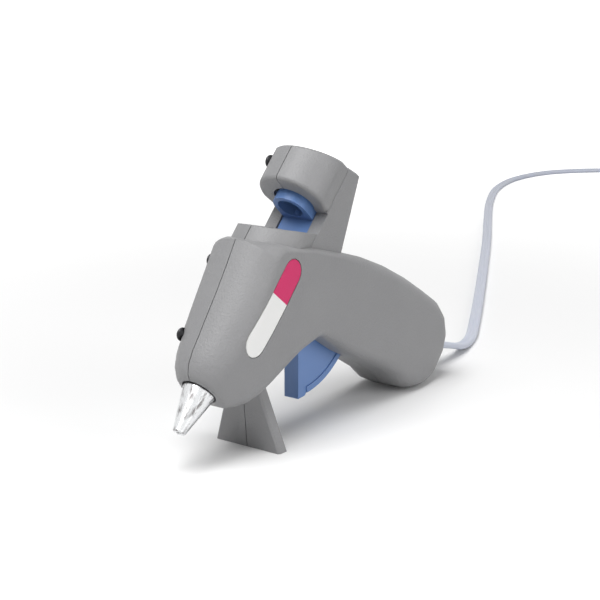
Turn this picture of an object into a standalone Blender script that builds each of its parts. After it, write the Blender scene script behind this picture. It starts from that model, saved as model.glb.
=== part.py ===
"""Mini hot glue gun on its front stand: two moulded shells, a trigger-fed glue stick, a heated barrel.

The gun rests on its flared front foot and the butt of its handle. Most pieces are drawn along the
barrel, so they hang from an empty at the nozzle tip whose X runs back along the barrel and whose Z
points up from it. The handle, foot and trigger are drawn in the standing gun's own X and Z.
"""
import math

import bmesh
import bpy
from mathutils import Matrix, Vector

# Stance: the nozzle tip's place and how far the barrel leans
BARREL_TILT = math.radians(47.4)
TIP_X = -0.0780
TIP_Z = 0.0155

# Housing
BODY_LENGTH = 0.0682
BODY_CREST = 0.0192
BODY_DEPTH = 0.0306
HALF_WIDTH = 0.015
HANDLE_LENGTH = 0.1258
WALL = 0.0024
PARTING_GAP = 0.0003
PARTING_OVERLAP = 0.0036
CLEARANCE = 0.0003
RUNNING_CLEARANCE = 0.0001
OVERRUN = 0.004
WELD = 0.00001

# Tower and head behind the body
HEAD_RADIUS = 0.0140
HEAD_RISE = 0.0010
LEDGE_DROP = 0.0059
HEAD_FRONT = 0.0975
HEAD_REAR = 0.1124
HEAD_REAR_LEAN = 0.27
HEAD_EDGE = 0.0008
COLLAR_REAR = 0.0768
COLLAR_LEAN = 0.56
TOWER_START = 0.0660
TOWER_START_LEAN = 0.18
TOWER_HEEL_DEPTH = 0.0148
TOWER_SLOPE = 0.36
TOWER_CORNER = 0.0022
TOWER_HALF_WIDTH = 0.0124
TOWER_CREASE = 0.0003
TOWER_REAR_CORNER = 0.0036
HEAD_ROUND = 0.0016
HEAD_RECESS_RADIUS = 0.0082
HEAD_RECESS_DEPTH = 0.0055

# Foot
FOOT_HALF_WIDTH = 0.015
FOOT_WAIST_HALF_WIDTH = 0.0047
FOOT_SETBACK = 0.0375
FOOT_THICKNESS = 0.0051
FOOT_HEIGHT = 0.0310
FOOT_LEAN = 0.0030
FOOT_CHAMFER = 0.0007

# Hot end
NOZZLE_LENGTH = 0.0166
NOZZLE_TIP_RADIUS = 0.00246
NOZZLE_BASE_RADIUS = 0.0061
NOZZLE_HOLE_RADIUS = 0.0009
NOZZLE_FLANGE = 0.0005
SHANK_RADIUS = 0.0034
SHANK_LENGTH = 0.0045
STICK_BORE_RADIUS = 0.0037
BARREL_RADIUS = 0.0058
BARREL_END = 0.0500
SPIGOT_RADIUS = 0.0046
SPIGOT_LENGTH = 0.0070
NOSE_SPIGOT_RADIUS = 0.0048
COLLAR_RING_RADIUS = 0.0064
COLLAR_RING_LENGTH = 0.0034
SADDLE_START = 0.0310
SADDLE_LENGTH = 0.0150
SADDLE_HALF_WIDTH = 0.0046
SADDLE_DEPTH = 0.0080
HEATER_LENGTH = 0.0130
HEATER_HALF_WIDTH = 0.0043
HEATER_THICKNESS = 0.0027
CLIP_LENGTH = 0.0070
CLIP_THICKNESS = 0.0006
SLEEVE_RADIUS = 0.0062
SLEEVE_LENGTH = 0.0176
SLEEVE_FUNNEL = 0.0014
HOSE_CLIP_THICKNESS = 0.0007
HOSE_CLIP_LENGTH = 0.0030
HOSE_CLIP_LUG = 0.0024

# Ribs inside the shells
RIB_THICKNESS = 0.0020
FRONT_RIB = 0.0235
REAR_RIB = 0.0465
SPRING_SHELF = 0.0555

# Feeder
FEEDER_HALF_WIDTH = 0.0070
FEEDER_TOP_DROP = 0.0066
FEEDER_THICKNESS = 0.0026
FEEDER_FRONT = 0.0660
RING_FRONT = 0.0942
RING_THICKNESS = 0.0042
RING_BORE_RADIUS = 0.0050
RING_WALL = 0.0020
FEEDER_TAIL = 0.0010
TOOTH_HALF_WIDTH = 0.0016
TOOTH_RISE = 0.0017
LUG_HALF_WIDTH = 0.0016
LUG_LENGTH = 0.0042
FEED_PIN_RADIUS = 0.0010

# Trigger
PIVOT_ALONG = 0.0700
PIVOT_DROP = 0.0244
TRIGGER_SWING = math.radians(24)
TRIGGER_RADIUS = 0.0374
TRIGGER_HALF_WIDTH = 0.0037
TRIGGER_RIM = 0.0024
TRIGGER_RIM_STEP = 0.0004
TRIGGER_FACE_SETBACK = 0.0011
TRIGGER_TOE = 0.0386
HUB_RADIUS = 0.0046
PIVOT_PIN_RADIUS = 0.0015
PIVOT_PIN_HALF_LENGTH = 0.0090
LEVER_REACH = 0.0118
LEVER_HALF_WIDTH = 0.0028
PIVOT_BOSS_RADIUS = 0.0036

# Return spring
SPRING_RADIUS = 0.0013
SPRING_WIRE = 0.00028
SPRING_CURLS = 7
CURL_POINTS = 9

# Screws: head, shank and the posts they run in
SCREW_HEAD_RADIUS = 0.0025
SCREW_HEAD_HEIGHT = 0.0014
SCREW_RADIUS = 0.0014
SCREW_REACH = 0.0070
SCREW_POST_RADIUS = 0.0027

# Label
LABEL_START = 0.0335
LABEL_LENGTH = 0.0396
LABEL_HALF_WIDTH = 0.0049
LABEL_RISE = 0.0005
LABEL_SINK = 0.0001
LABEL_THICKNESS = 0.00035

# Mains cord: flat twin, laid on the table
CORD_WIDTH = 0.0054
CORD_THICKNESS = 0.0027
CORD_ANGLE = math.radians(20)
CORD_EXIT_X = 0.0778
CORD_EXIT_Z = 0.0130
CORD_INSIDE_LENGTH = 0.0360
CORD_SLOT_CLEARANCE = 0.0003
RUNNING_CLEARANCE = 0.0001
CORD_RIB_GAP = 0.0120
CORD_RIB_HEIGHT = 0.0100
LEAD_RADIUS = 0.0007
CRIMP_RADIUS = 0.0021
CRIMP_LENGTH = 0.0095
CRIMP_SPACING = 0.0034

# Cord put away in a flat coil
COIL_TURNS = 4
COIL_TURN_POINTS = 24
COIL_RADIUS = 0.0345
COIL_PITCH = 0.0060
COIL_LAYER = 0.0036
COIL_LIFT = 0.0008
COIL_ENTRY_X = 0.6245
COIL_ENTRY_Y = 0.1120
TIE_WIDTH = 0.0040
TIE_THICKNESS = 0.0005

# Plug
PLUG_TAIL = 0.0360
PLUG_LENGTH = 0.0240
PLUG_WIDTH = 0.0150
PLUG_HEIGHT = 0.0240
PLUG_NECK_WIDTH = 0.0090
BLADE_LENGTH = 0.0160
BLADE_WIDTH = 0.0063
BLADE_THICKNESS = 0.0015
BLADE_SPACING = 0.0127

ROUND_SIDES = 40
SMALL_ROUND_SIDES = 20

# Nose to corner of the housing, as shares of BODY_LENGTH along and BODY_CREST or BODY_DEPTH across:
# crest along, crest up, keel along, keel down, half width, crest rounding down, keel rounding in, up
BODY_SECTION_SHARES = (
    (0.252, 0.39, 0.229, 0.26, 0.53, 0.38, 0.50, 0.24),
    (0.270, 0.50, 0.241, 0.35, 0.62, 0.48, 0.56, 0.31),
    (0.312, 0.60, 0.279, 0.46, 0.72, 0.50, 0.58, 0.32),
    (0.381, 0.67, 0.334, 0.57, 0.81, 0.53, 0.54, 0.28),
    (0.460, 0.70, 0.396, 0.635, 0.87, 0.55, 0.50, 0.25),
    (0.528, 0.735, 0.469, 0.675, 0.92, 0.56, 0.46, 0.21),
    (0.701, 0.81, 0.616, 0.765, 0.98, 0.57, 0.40, 0.165),
    (0.850, 0.896, 0.740, 0.869, 1.0, 0.58, 0.36, 0.15),
    (1.0, 1.0, 0.836, 1.0, 1.0, 0.59, 0.34, 0.13),
)
# Corner of the body back to the butt, as shares of HANDLE_LENGTH behind the corner and of its height:
# back along, back up, grip along, grip up, half width, then roundings as shares of the half width
HANDLE_SECTION_SHARES = (
    (0.034, 0.991, 0.238, 0.468, 1.0, 0.70, 0.46, 0.34, 0.27),
    (0.074, 0.977, 0.244, 0.472, 1.0, 0.36, 0.24, 0.34, 0.27),
    (0.213, 0.927, 0.265, 0.477, 1.0, 0.28, 0.17, 0.34, 0.27),
    (0.364, 0.862, 0.289, 0.464, 1.0, 0.34, 0.20, 0.36, 0.28),
    (0.499, 0.796, 0.328, 0.424, 1.0, 0.46, 0.30, 0.38, 0.30),
    (0.634, 0.714, 0.403, 0.348, 0.99, 0.60, 0.40, 0.40, 0.32),
    (0.754, 0.622, 0.499, 0.269, 0.98, 0.67, 0.47, 0.42, 0.34),
    (0.865, 0.520, 0.595, 0.200, 0.97, 0.70, 0.50, 0.44, 0.36),
    (0.944, 0.442, 0.674, 0.124, 0.96, 0.70, 0.53, 0.46, 0.38),
    (0.984, 0.368, 0.726, 0.048, 0.95, 0.70, 0.54, 0.50, 0.40),
    (1.0, 0.286, 0.769, 0.013, 0.92, 0.70, 0.54, 0.54, 0.40),
    (0.994, 0.203, 0.825, 0.0, 0.86, 0.70, 0.52, 0.56, 0.40),
    (0.972, 0.121, 0.873, 0.005, 0.76, 0.68, 0.50, 0.56, 0.38),
    (0.943, 0.063, 0.917, 0.025, 0.58, 0.60, 0.15, 0.56, 0.12),
)
# Screws in the barrel's frame: along and up, as shares of HEAD_REAR and BODY_CREST, and the seat's y
BARREL_SCREW_SHARES = ((0.961, 0.448, 0.72), (0.5605, 0.52, 0.87), (0.290, 0.484, 0.68), (0.249, -0.677, 0.79))
# Screws in the handle: along HANDLE_LENGTH and up the corner's height, and the seat's y
HANDLE_SCREW_SHARES = ((0.515, 0.635, 0.87), (0.888, 0.356, 0.83))
# The heater leads, from heater to crimp: along HANDLE_LENGTH, up the corner's height, out in half widths
LEAD_ROUTE_SHARES = (
    (0.085, 0.528, 0.43), (0.147, 0.548, 0.62), (0.220, 0.552, 0.65), (0.300, 0.530, 0.64),
    (0.380, 0.500, 0.60), (0.450, 0.470, 0.52), (0.520, 0.434, 0.42),
)
# Where the cord lies on the table, in metres from the gun's origin
CORD_ROUTE = (
    (0.1000, 0.0006, 0.0068), (0.1110, 0.0020, 0.0036), (0.1220, 0.0048, 0.00175), (0.1360, 0.0100, 0.00135),
    (0.1560, 0.0203, 0.00135), (0.1830, 0.0346, 0.00135), (0.2260, 0.0578, 0.00135),
    (0.2750, 0.0845, 0.00135), (0.3280, 0.1137, 0.00135), (0.3880, 0.1478, 0.00135),
    (0.4400, 0.1765, 0.00135), (0.4880, 0.1985, 0.00135), (0.5320, 0.2085, 0.00135),
    (0.5720, 0.2030, 0.00135), (0.6020, 0.1810, 0.00135), (0.6180, 0.1530, 0.00165),
)

PIVOT_Y_AXIS = Vector((0, 1, 0))


def clear_scene():
    for item in list(bpy.data.objects):
        bpy.data.objects.remove(item)


def material(name, colour, roughness, metallic=0.0):
    made = bpy.data.materials.new(name)
    made.use_nodes = True
    shader = made.node_tree.nodes["Principled BSDF"]
    shader.inputs["Base Color"].default_value = (*colour, 1)
    shader.inputs["Roughness"].default_value = roughness
    shader.inputs["Metallic"].default_value = metallic
    made.diffuse_color = (*colour, 1)
    return made


def barrel_place(along, up):
    """The standing gun's X and Z of a point in the barrel's frame."""
    lean_x, lean_z = math.cos(BARREL_TILT), math.sin(BARREL_TILT)
    return TIP_X + along * lean_x - up * lean_z, TIP_Z + along * lean_z + up * lean_x


CORNER_X, CORNER_Z = barrel_place(BODY_LENGTH, BODY_CREST)
PIVOT_X, PIVOT_Z = barrel_place(PIVOT_ALONG, -PIVOT_DROP)


def handle_place(along_share, up_share):
    return CORNER_X + along_share * HANDLE_LENGTH, up_share * CORNER_Z


def link(name, mesh, finish, parent=None):
    item = bpy.data.objects.new(name, mesh)
    bpy.context.collection.objects.link(item)
    if finish:
        mesh.materials.append(finish)
    item.parent = parent
    return item


def mesh_from(name, points, faces, flat=True):
    mesh = bpy.data.meshes.new(name)
    mesh.from_pydata(points, [], faces)
    work = bmesh.new()
    work.from_mesh(mesh)
    bmesh.ops.recalc_face_normals(work, faces=work.faces)
    if not flat:
        bmesh.ops.triangulate(work, faces=[face for face in work.faces if len(face.verts) == 4])
    work.to_mesh(mesh)
    work.free()
    return mesh


def smooth(item, degrees=32):
    item.data.shade_smooth()
    item.data.set_sharp_from_angle(angle=math.radians(degrees))
    return item


def lofted(name, rings, finish=None, parent=None, flat=False):
    """A closed solid through rings of equally many points."""
    count = len(rings[0])
    points = [point for ring in rings for point in ring]
    faces = []
    for step in range(len(rings) - 1):
        for turn in range(count):
            after = (turn + 1) % count
            low = step * count
            high = low + count
            faces.append((low + turn, low + after, high + after, high + turn))
    faces.append(tuple(range(count))[::-1])
    faces.append(tuple(range(len(points) - count, len(points))))
    return link(name, mesh_from(name, points, faces, flat), finish, parent)


def prism(name, outline, low, high, axis, finish=None, parent=None):
    """An outline swept along an axis: the outline's two numbers fill the other two axes in order."""
    def place(first, second, along):
        return {"X": (along, first, second), "Y": (first, along, second), "Z": (first, second, along)}[axis]
    rings = [[place(*point, along) for point in outline] for along in (low, high)]
    return lofted(name, rings, finish, parent, True)


def box(name, low, high, finish=None, parent=None):
    outline = [(low[0], low[1]), (high[0], low[1]), (high[0], high[1]), (low[0], high[1])]
    return prism(name, outline, low[2], high[2], "Z", finish, parent)


def turned(name, profile, finish=None, parent=None, sides=ROUND_SIDES):
    """A closed profile of (along, radius) spun round the X axis; radius 0 ends lie on the axis."""
    points = []
    faces = []
    rows = []
    for along, radius in profile:
        if radius == 0:
            rows.append([len(points)] * sides)
            points.append((along, 0, 0))
            continue
        rows.append(list(range(len(points), len(points) + sides)))
        for turn in range(sides):
            angle = math.tau * turn / sides
            points.append((along, radius * math.cos(angle), radius * math.sin(angle)))
    open_ended = profile[0][1] == 0
    for step in range(len(rows) - (1 if open_ended else 0)):
        first, second = rows[step], rows[(step + 1) % len(rows)]
        for turn in range(sides):
            after = (turn + 1) % sides
            corners = [first[turn], first[after], second[after], second[turn]]
            face = list(dict.fromkeys(corners))
            if len(face) > 2:
                faces.append(face)
    return smooth(link(name, mesh_from(name, points, faces), finish, parent))


def rod_y(name, radius, low, high, at, finish=None, parent=None, sides=SMALL_ROUND_SIDES):
    """A round bar along Y at an X and Z."""
    outline = [
        (at[0] + radius * math.cos(math.tau * turn / sides), at[1] + radius * math.sin(math.tau * turn / sides))
        for turn in range(sides)
    ]
    return prism(name, outline, low, high, "Y", finish, parent)


def cutter(item):
    item.hide_render = True
    item.display_type = "WIRE"
    return item


def cut(item, tool, operation="DIFFERENCE"):
    step = item.modifiers.new(tool.name, "BOOLEAN")
    step.object = cutter(tool)
    step.operation = operation
    return item


def weld(item):
    item.modifiers.new("weld", "WELD").merge_threshold = WELD
    return item


def join(item, tool):
    return cut(item, tool, "UNION")


def half_section(low, high, half_width, crest_in, crest_down, keel_in, keel_up, side, inset=0.0):
    """Half of a cross section between a keel point and a crest point, run past the parting plane."""
    low, high = Vector((low[0], 0, low[1])), Vector((high[0], 0, high[1]))
    along = (high - low).normalized()
    low = low + along * inset
    high = high - along * inset
    length = (high - low).length
    half_width = half_width - inset
    crest_in = min(crest_in - inset / 2, half_width * 0.97)
    keel_in = min(keel_in - inset / 2, half_width * 0.97)
    crest_down = max(crest_down - inset / 2, crest_in / 8)
    keel_up = max(keel_up - inset / 2, keel_in / 8)
    inner = -PARTING_OVERLAP - inset
    outline = [(inner, 0)]
    for step in range(5):
        angle = math.radians(90) * step / 4
        outline.append((half_width - keel_in + keel_in * math.sin(angle), keel_up - keel_up * math.cos(angle)))
    for step in range(7):
        angle = math.radians(90) * step / 6
        across = half_width - crest_in + crest_in * math.cos(angle)
        outline.append((across, length - crest_down + crest_down * math.sin(angle)))
    outline.append((inner, length))
    return [tuple(low + along * up + Vector((0, side * out, 0))) for out, up in outline]


def housing_rings(side, inset=0.0, first=0, last=None):
    rings = []
    for crest, rise, keel, drop, width, down, inward, up in BODY_SECTION_SHARES:
        high = barrel_place(crest * BODY_LENGTH, rise * BODY_CREST)
        low = barrel_place(keel * BODY_LENGTH, -drop * BODY_DEPTH)
        half = width * HALF_WIDTH
        rings.append(half_section(
            low, high, half, half * 0.97, down * BODY_CREST, inward * half, up * BODY_DEPTH, side, inset))
    for back, rise, grip, lift, width, inward, down, tuck, up in HANDLE_SECTION_SHARES:
        half = width * HALF_WIDTH
        rings.append(half_section(
            handle_place(grip, lift), handle_place(back, rise), half,
            inward * half, down * HALF_WIDTH, tuck * half, up * HALF_WIDTH, side, inset))
    return rings[first:last]


def tower_ring(side, start, lean, inset=0.0):
    """The tower's half outline at one place along the barrel, leaning back as it drops."""
    radius = HEAD_RADIUS - inset
    crest = HEAD_RISE + radius
    steps = 10
    outline = [(-PARTING_OVERLAP * 1.3, crest), (0, crest)]
    for step in range(1, steps + 1):
        angle = math.radians(90) - math.radians(90) * step / steps
        outline.append((radius * math.cos(angle), HEAD_RISE + radius * math.sin(angle)))
    wall = TOWER_HALF_WIDTH - inset
    outline += [(wall - TOWER_CREASE, -LEDGE_DROP + TOWER_CREASE), (wall, -LEDGE_DROP)]
    heel = -TOWER_HEEL_DEPTH + inset - (HEAD_REAR - start) * TOWER_SLOPE
    outline += [(wall, heel + TOWER_CORNER), (wall - TOWER_CORNER, heel), (-PARTING_OVERLAP * 1.3, heel)]
    ring = []
    for out, up in outline:
        x, z = barrel_place(start + (HEAD_RADIUS + HEAD_RISE - up) * lean, up)
        ring.append((x, side * out, z))
    return ring


def tower(name, side):
    return lofted(name, [
        tower_ring(side, TOWER_START, TOWER_START_LEAN),
        tower_ring(side, HEAD_REAR - HEAD_EDGE, HEAD_REAR_LEAN),
        tower_ring(side, HEAD_REAR, HEAD_REAR_LEAN, HEAD_EDGE),
    ])


def head_round(name, side):
    """What rounding the head's front edge takes away: a slab less a head that swells out of its face."""
    rings = []
    for share in (0, 1, 2, 3):
        angle = math.radians(30) * share
        back, inset = HEAD_ROUND * (1 - math.sin(angle)), HEAD_ROUND * (1 - math.cos(angle))
        rings.append((back, inset))
    rings = [(HEAD_ROUND * 1.5, 0), *rings, (-OVERRUN, HEAD_ROUND)]
    swell = lofted(name + "_swell", [tower_ring(side, HEAD_FRONT + back, 0, inset) for back, inset in rings])
    reach = 2 * HALF_WIDTH
    floor = -LEDGE_DROP + TOWER_CREASE * 3
    outline = [
        (HEAD_FRONT - OVERRUN / 2, floor), (HEAD_FRONT + HEAD_ROUND, floor),
        (HEAD_FRONT + HEAD_ROUND, reach), (HEAD_FRONT - OVERRUN / 2, reach)]
    slab = prism(name, outline, -reach, reach, "Y", parent=bpy.data.objects["barrel_frame"])
    return cut(slab, swell)


def rear_corner(name):
    """What rounding the tower's lower rear corner takes away, through both shells."""
    radius = TOWER_REAR_CORNER
    drop = -TOWER_HEEL_DEPTH
    corner = Vector((HEAD_REAR + (HEAD_RADIUS + HEAD_RISE - drop) * HEAD_REAR_LEAN, drop))
    up = Vector((-HEAD_REAR_LEAN, 1)).normalized()
    down = Vector((-1, -TOWER_SLOPE)).normalized()
    first, last = corner + up * radius, corner + down * radius
    outline = [tuple(first), tuple(first + (corner - last)), tuple(corner + (corner - last) * 0.5 + (corner - first)),
               tuple(last + (corner - first)), tuple(last)]
    steps = 5
    for step in range(1, steps):
        share = step / steps
        outline.append(tuple(last * (1 - share) ** 2 + corner * 2 * share * (1 - share) + first * share ** 2))
    reach = 2 * HALF_WIDTH
    return prism(name, outline, -reach, reach, "Y", parent=bpy.data.objects["barrel_frame"])


def foot(name, side):
    rings = []
    for height, front, half_width in (
        (0, TIP_X + FOOT_SETBACK, FOOT_HALF_WIDTH),
        (FOOT_HEIGHT, TIP_X + FOOT_SETBACK - FOOT_LEAN, FOOT_WAIST_HALF_WIDTH),
    ):
        back = front + FOOT_THICKNESS
        inner, outer = -PARTING_OVERLAP * 1.6, half_width
        rings.append([
            (x, side * y, height) for x, y in (
                (front, inner), (front, outer - FOOT_CHAMFER), (front + FOOT_CHAMFER, outer),
                (back - FOOT_CHAMFER, outer), (back, outer - FOOT_CHAMFER), (back, inner))
        ])
    return lofted(name, rings)


def screw_places():
    """Each screw's X, Z and seat y."""
    places = []
    for along, up, seat in BARREL_SCREW_SHARES:
        places.append((*barrel_place(along * HEAD_REAR, up * BODY_CREST), seat * HALF_WIDTH))
    for along, up, seat in HANDLE_SCREW_SHARES:
        places.append((*handle_place(along, up), seat * HALF_WIDTH))
    return places


def barrel_prism(name, outline, low, high, axis, frame):
    return prism(name, outline, low, high, axis, parent=frame)


def cord_frame(name):
    """An empty where the cord leaves the butt, X pointing out along it."""
    frame = bpy.data.objects.new(name, None)
    bpy.context.collection.objects.link(frame)
    frame.location = (CORD_EXIT_X, 0, CORD_EXIT_Z)
    frame.rotation_euler = (0, CORD_ANGLE, 0)
    return frame


def half_range(side, low, high):
    return (side * low, side * high) if side > 0 else (side * high, side * low)


def hollow(side, tag, frame, cord):
    """The air inside one shell: its inner loft, less the ribs and screw posts that stand in it."""
    air = lofted(tag + "_air", housing_rings(side, WALL, 2, -2))
    reach = HALF_WIDTH + OVERRUN
    near, far = half_range(side, -2 * PARTING_OVERLAP, reach)
    deep = BODY_DEPTH + OVERRUN
    cut(air, box(tag + "_front_rib", (FRONT_RIB, near, -deep), (FRONT_RIB + RIB_THICKNESS, far, deep), None, frame))
    cut(air, box(
        tag + "_rear_rib", (REAR_RIB, near, -SADDLE_DEPTH), (REAR_RIB + RIB_THICKNESS, far, deep), None, frame))
    spring_height = PIVOT_DROP - LEVER_REACH
    cut(air, box(
        tag + "_spring_shelf", (SPRING_SHELF, near, -spring_height - SPRING_RADIUS * 2),
        (SPRING_SHELF + RIB_THICKNESS, far, -spring_height + SPRING_RADIUS * 2), None, frame))
    for index in (1, 2):
        start = -index * CORD_RIB_GAP
        cut(air, box(
            f"{tag}_cord_rib_{index}", (start, near, -CORD_RIB_HEIGHT / 2),
            (start + RIB_THICKNESS, far, CORD_RIB_HEIGHT / 2), None, cord))
    for index, (x, z, _) in enumerate(screw_places()):
        post = rod_y(f"{tag}_post_{index}", SCREW_POST_RADIUS, near, far, (x, z))
        cut(air, post)
    boss_low, boss_high = half_range(side, TRIGGER_HALF_WIDTH + CLEARANCE, reach)
    return cut(air, rod_y(tag + "_pivot_boss", PIVOT_BOSS_RADIUS, boss_low, boss_high, (PIVOT_X, PIVOT_Z)))


def window_outline():
    """The gap between the collar and the head, above the ledges."""
    top = HEAD_RADIUS + HEAD_RISE + OVERRUN
    drop = top + LEDGE_DROP
    return [
        (COLLAR_REAR - OVERRUN * COLLAR_LEAN, top), (HEAD_FRONT, top), (HEAD_FRONT, -LEDGE_DROP),
        (COLLAR_REAR - OVERRUN * COLLAR_LEAN + drop * COLLAR_LEAN, -LEDGE_DROP),
    ]


def trigger_slot(name):
    x, z = PIVOT_X, PIVOT_Z
    reach = TRIGGER_RADIUS + 3 * CLEARANCE
    front = x - TRIGGER_FACE_SETBACK * 3
    outline = [(front, z - reach), (front, z - reach * 0.1), (x + reach * 0.5, z - reach * 0.1)]
    steps = 12
    for step in range(steps + 1):
        angle = math.radians(-13 - 74 * step / steps)
        outline.append((x + reach * math.cos(angle), z + reach * math.sin(angle)))
    half = TRIGGER_HALF_WIDTH + 2 * CLEARANCE
    return prism(name, outline, -half, half, "Y")


def stadium(start, length, half_width, rise, steps=8):
    outline = []
    for step in range(steps + 1):
        angle = math.radians(90) + math.pi * step / steps
        outline.append((start + half_width + half_width * math.cos(angle), rise + half_width * math.sin(angle)))
    for step in range(steps + 1):
        angle = -math.radians(90) + math.pi * step / steps
        outline.append((start + length - half_width + half_width * math.cos(angle), rise + half_width * math.sin(angle)))
    return outline


def label_blank(name, frame, growth, floor):
    """The label's stadium outside a skin that lies floor deep in the left shell."""
    outline = stadium(
        LABEL_START - growth, LABEL_LENGTH + 2 * growth, LABEL_HALF_WIDTH + growth, LABEL_RISE)
    blank = prism(name, outline, -HALF_WIDTH - OVERRUN, -HALF_WIDTH / 2, "Y", parent=frame)
    return cut(blank, lofted(name + "_skin", housing_rings(-1, floor)))


def shell(name, side, finish, frame, cord):
    """One half of the housing: outer forms joined, then hollowed and cut."""
    half = lofted(name, housing_rings(side), finish)
    join(half, tower(name + "_tower", side))
    join(half, foot(name + "_foot", side))
    places = screw_places()
    weld(half)
    cut(half, hollow(side, name, frame, cord))
    weld(half)
    cut(half, barrel_prism(name + "_window", window_outline(), -HALF_WIDTH - OVERRUN, HALF_WIDTH + OVERRUN, "Y", frame))
    cut(half, head_round(name + "_head_round", side))
    cut(half, rear_corner(name + "_rear_corner"))
    wide = FEEDER_HALF_WIDTH + CLEARANCE
    channel_floor = -FEEDER_TOP_DROP - FEEDER_THICKNESS - CLEARANCE
    recess_end = HEAD_FRONT + HEAD_RECESS_DEPTH
    cut(half, box(
        name + "_channel", (FEEDER_FRONT - OVERRUN, -wide, channel_floor),
        (recess_end - CLEARANCE, wide, -HEAD_RECESS_RADIUS / 2),
        None, frame))
    cut(half, turned(name + "_stick_bore", [
        (BARREL_END, 0), (BARREL_END, RING_BORE_RADIUS), (HEAD_REAR - HEAD_EDGE, RING_BORE_RADIUS),
        (HEAD_REAR + OVERRUN * 2, RING_BORE_RADIUS + HEAD_EDGE), (HEAD_REAR + OVERRUN * 2, 0)],
        None, frame))
    cut(half, turned(name + "_head_recess", [
        (HEAD_FRONT - OVERRUN, 0), (HEAD_FRONT - OVERRUN, HEAD_RECESS_RADIUS),
        (recess_end, HEAD_RECESS_RADIUS), (recess_end, 0)], None, frame))
    seat_radius = BARREL_RADIUS + CLEARANCE
    cut(half, turned(name + "_barrel_seat", [
        (NOZZLE_LENGTH, 0), (NOZZLE_LENGTH, seat_radius), (BARREL_END + CLEARANCE, seat_radius),
        (BARREL_END + CLEARANCE, 0)], None, frame))
    nose_radius = COLLAR_RING_RADIUS + CLEARANCE
    cut(half, turned(name + "_nose_hole", [
        (NOZZLE_LENGTH - OVERRUN, 0), (NOZZLE_LENGTH - OVERRUN, nose_radius),
        (FRONT_RIB - CLEARANCE, nose_radius), (FRONT_RIB - CLEARANCE, 0)], None, frame))
    cut(half, trigger_slot(name + "_trigger_slot"))
    pin_hole = PIVOT_PIN_HALF_LENGTH + CLEARANCE
    cut(half, rod_y(name + "_pin_hole", PIVOT_PIN_RADIUS + RUNNING_CLEARANCE, -pin_hole, pin_hole, (PIVOT_X, PIVOT_Z)))
    slot_wide = CORD_WIDTH / 2 + CORD_SLOT_CLEARANCE
    slot_high = CORD_THICKNESS / 2 + CORD_SLOT_CLEARANCE
    cut(half, box(
        name + "_cord_slot", (-2 * CORD_RIB_GAP - OVERRUN, -slot_wide, -slot_high),
        (OVERRUN * 2, slot_wide, slot_high), None, cord))
    for index, (x, z, seat) in enumerate(places):
        if side > 0:
            cut(half, rod_y(f"{name}_screw_hole_{index}", SCREW_RADIUS + CLEARANCE, -OVERRUN, HALF_WIDTH + OVERRUN, (x, z)))
            cut(half, rod_y(
                f"{name}_screw_seat_{index}", SCREW_HEAD_RADIUS + CLEARANCE, seat, HALF_WIDTH + OVERRUN, (x, z)))
        else:
            cut(half, rod_y(
                f"{name}_screw_hole_{index}", SCREW_RADIUS + CLEARANCE, -SCREW_REACH - CLEARANCE * 3, OVERRUN, (x, z)))
    if side < 0:
        cut(half, label_blank(name + "_label_bed", frame, CLEARANCE, LABEL_SINK + LABEL_THICKNESS + CLEARANCE))
    beyond, parting = half_range(side, -2 * HALF_WIDTH, PARTING_GAP / 2)
    far = 2 * HANDLE_LENGTH
    cut(half, box(name + "_parting", (-far, beyond, -far), (far, parting, far)))
    return weld(half)


def label(finish, frame):
    """The bare label: a thin plate that follows the shell's side."""
    plate = lofted("label", housing_rings(-1, LABEL_SINK), finish)
    outline = stadium(LABEL_START, LABEL_LENGTH, LABEL_HALF_WIDTH, LABEL_RISE)
    edge = prism("label_edge", outline, -HALF_WIDTH - OVERRUN, -HALF_WIDTH / 2, "Y", parent=frame)
    cut(plate, edge, "INTERSECT")
    return cut(plate, lofted("label_back", housing_rings(-1, LABEL_SINK + LABEL_THICKNESS)))


def nozzle(finish, frame):
    base = NOZZLE_LENGTH
    lip = NOZZLE_TIP_RADIUS / 6
    return turned("nozzle", [
        (0, NOZZLE_HOLE_RADIUS), (0, NOZZLE_TIP_RADIUS - lip), (lip, NOZZLE_TIP_RADIUS), (2 * lip, NOZZLE_TIP_RADIUS),
        (base - lip, NOZZLE_BASE_RADIUS), (base, NOZZLE_BASE_RADIUS), (base + NOZZLE_FLANGE, NOZZLE_BASE_RADIUS - lip),
        (base + NOZZLE_FLANGE, SHANK_RADIUS), (base + NOZZLE_FLANGE + SHANK_LENGTH, SHANK_RADIUS),
        (base + NOZZLE_FLANGE + SHANK_LENGTH, SHANK_RADIUS * 0.7), (base * 0.6, SHANK_RADIUS * 0.7),
        (base * 0.15, NOZZLE_HOLE_RADIUS)], finish, frame)


def nose_collar(finish, frame):
    start = NOZZLE_LENGTH + NOZZLE_FLANGE + CLEARANCE
    bore = NOSE_SPIGOT_RADIUS + CLEARANCE
    return turned("nose_collar", [
        (start, bore), (start, COLLAR_RING_RADIUS), (start + COLLAR_RING_LENGTH, COLLAR_RING_RADIUS),
        (start + COLLAR_RING_LENGTH, bore)], finish, frame)


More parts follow.
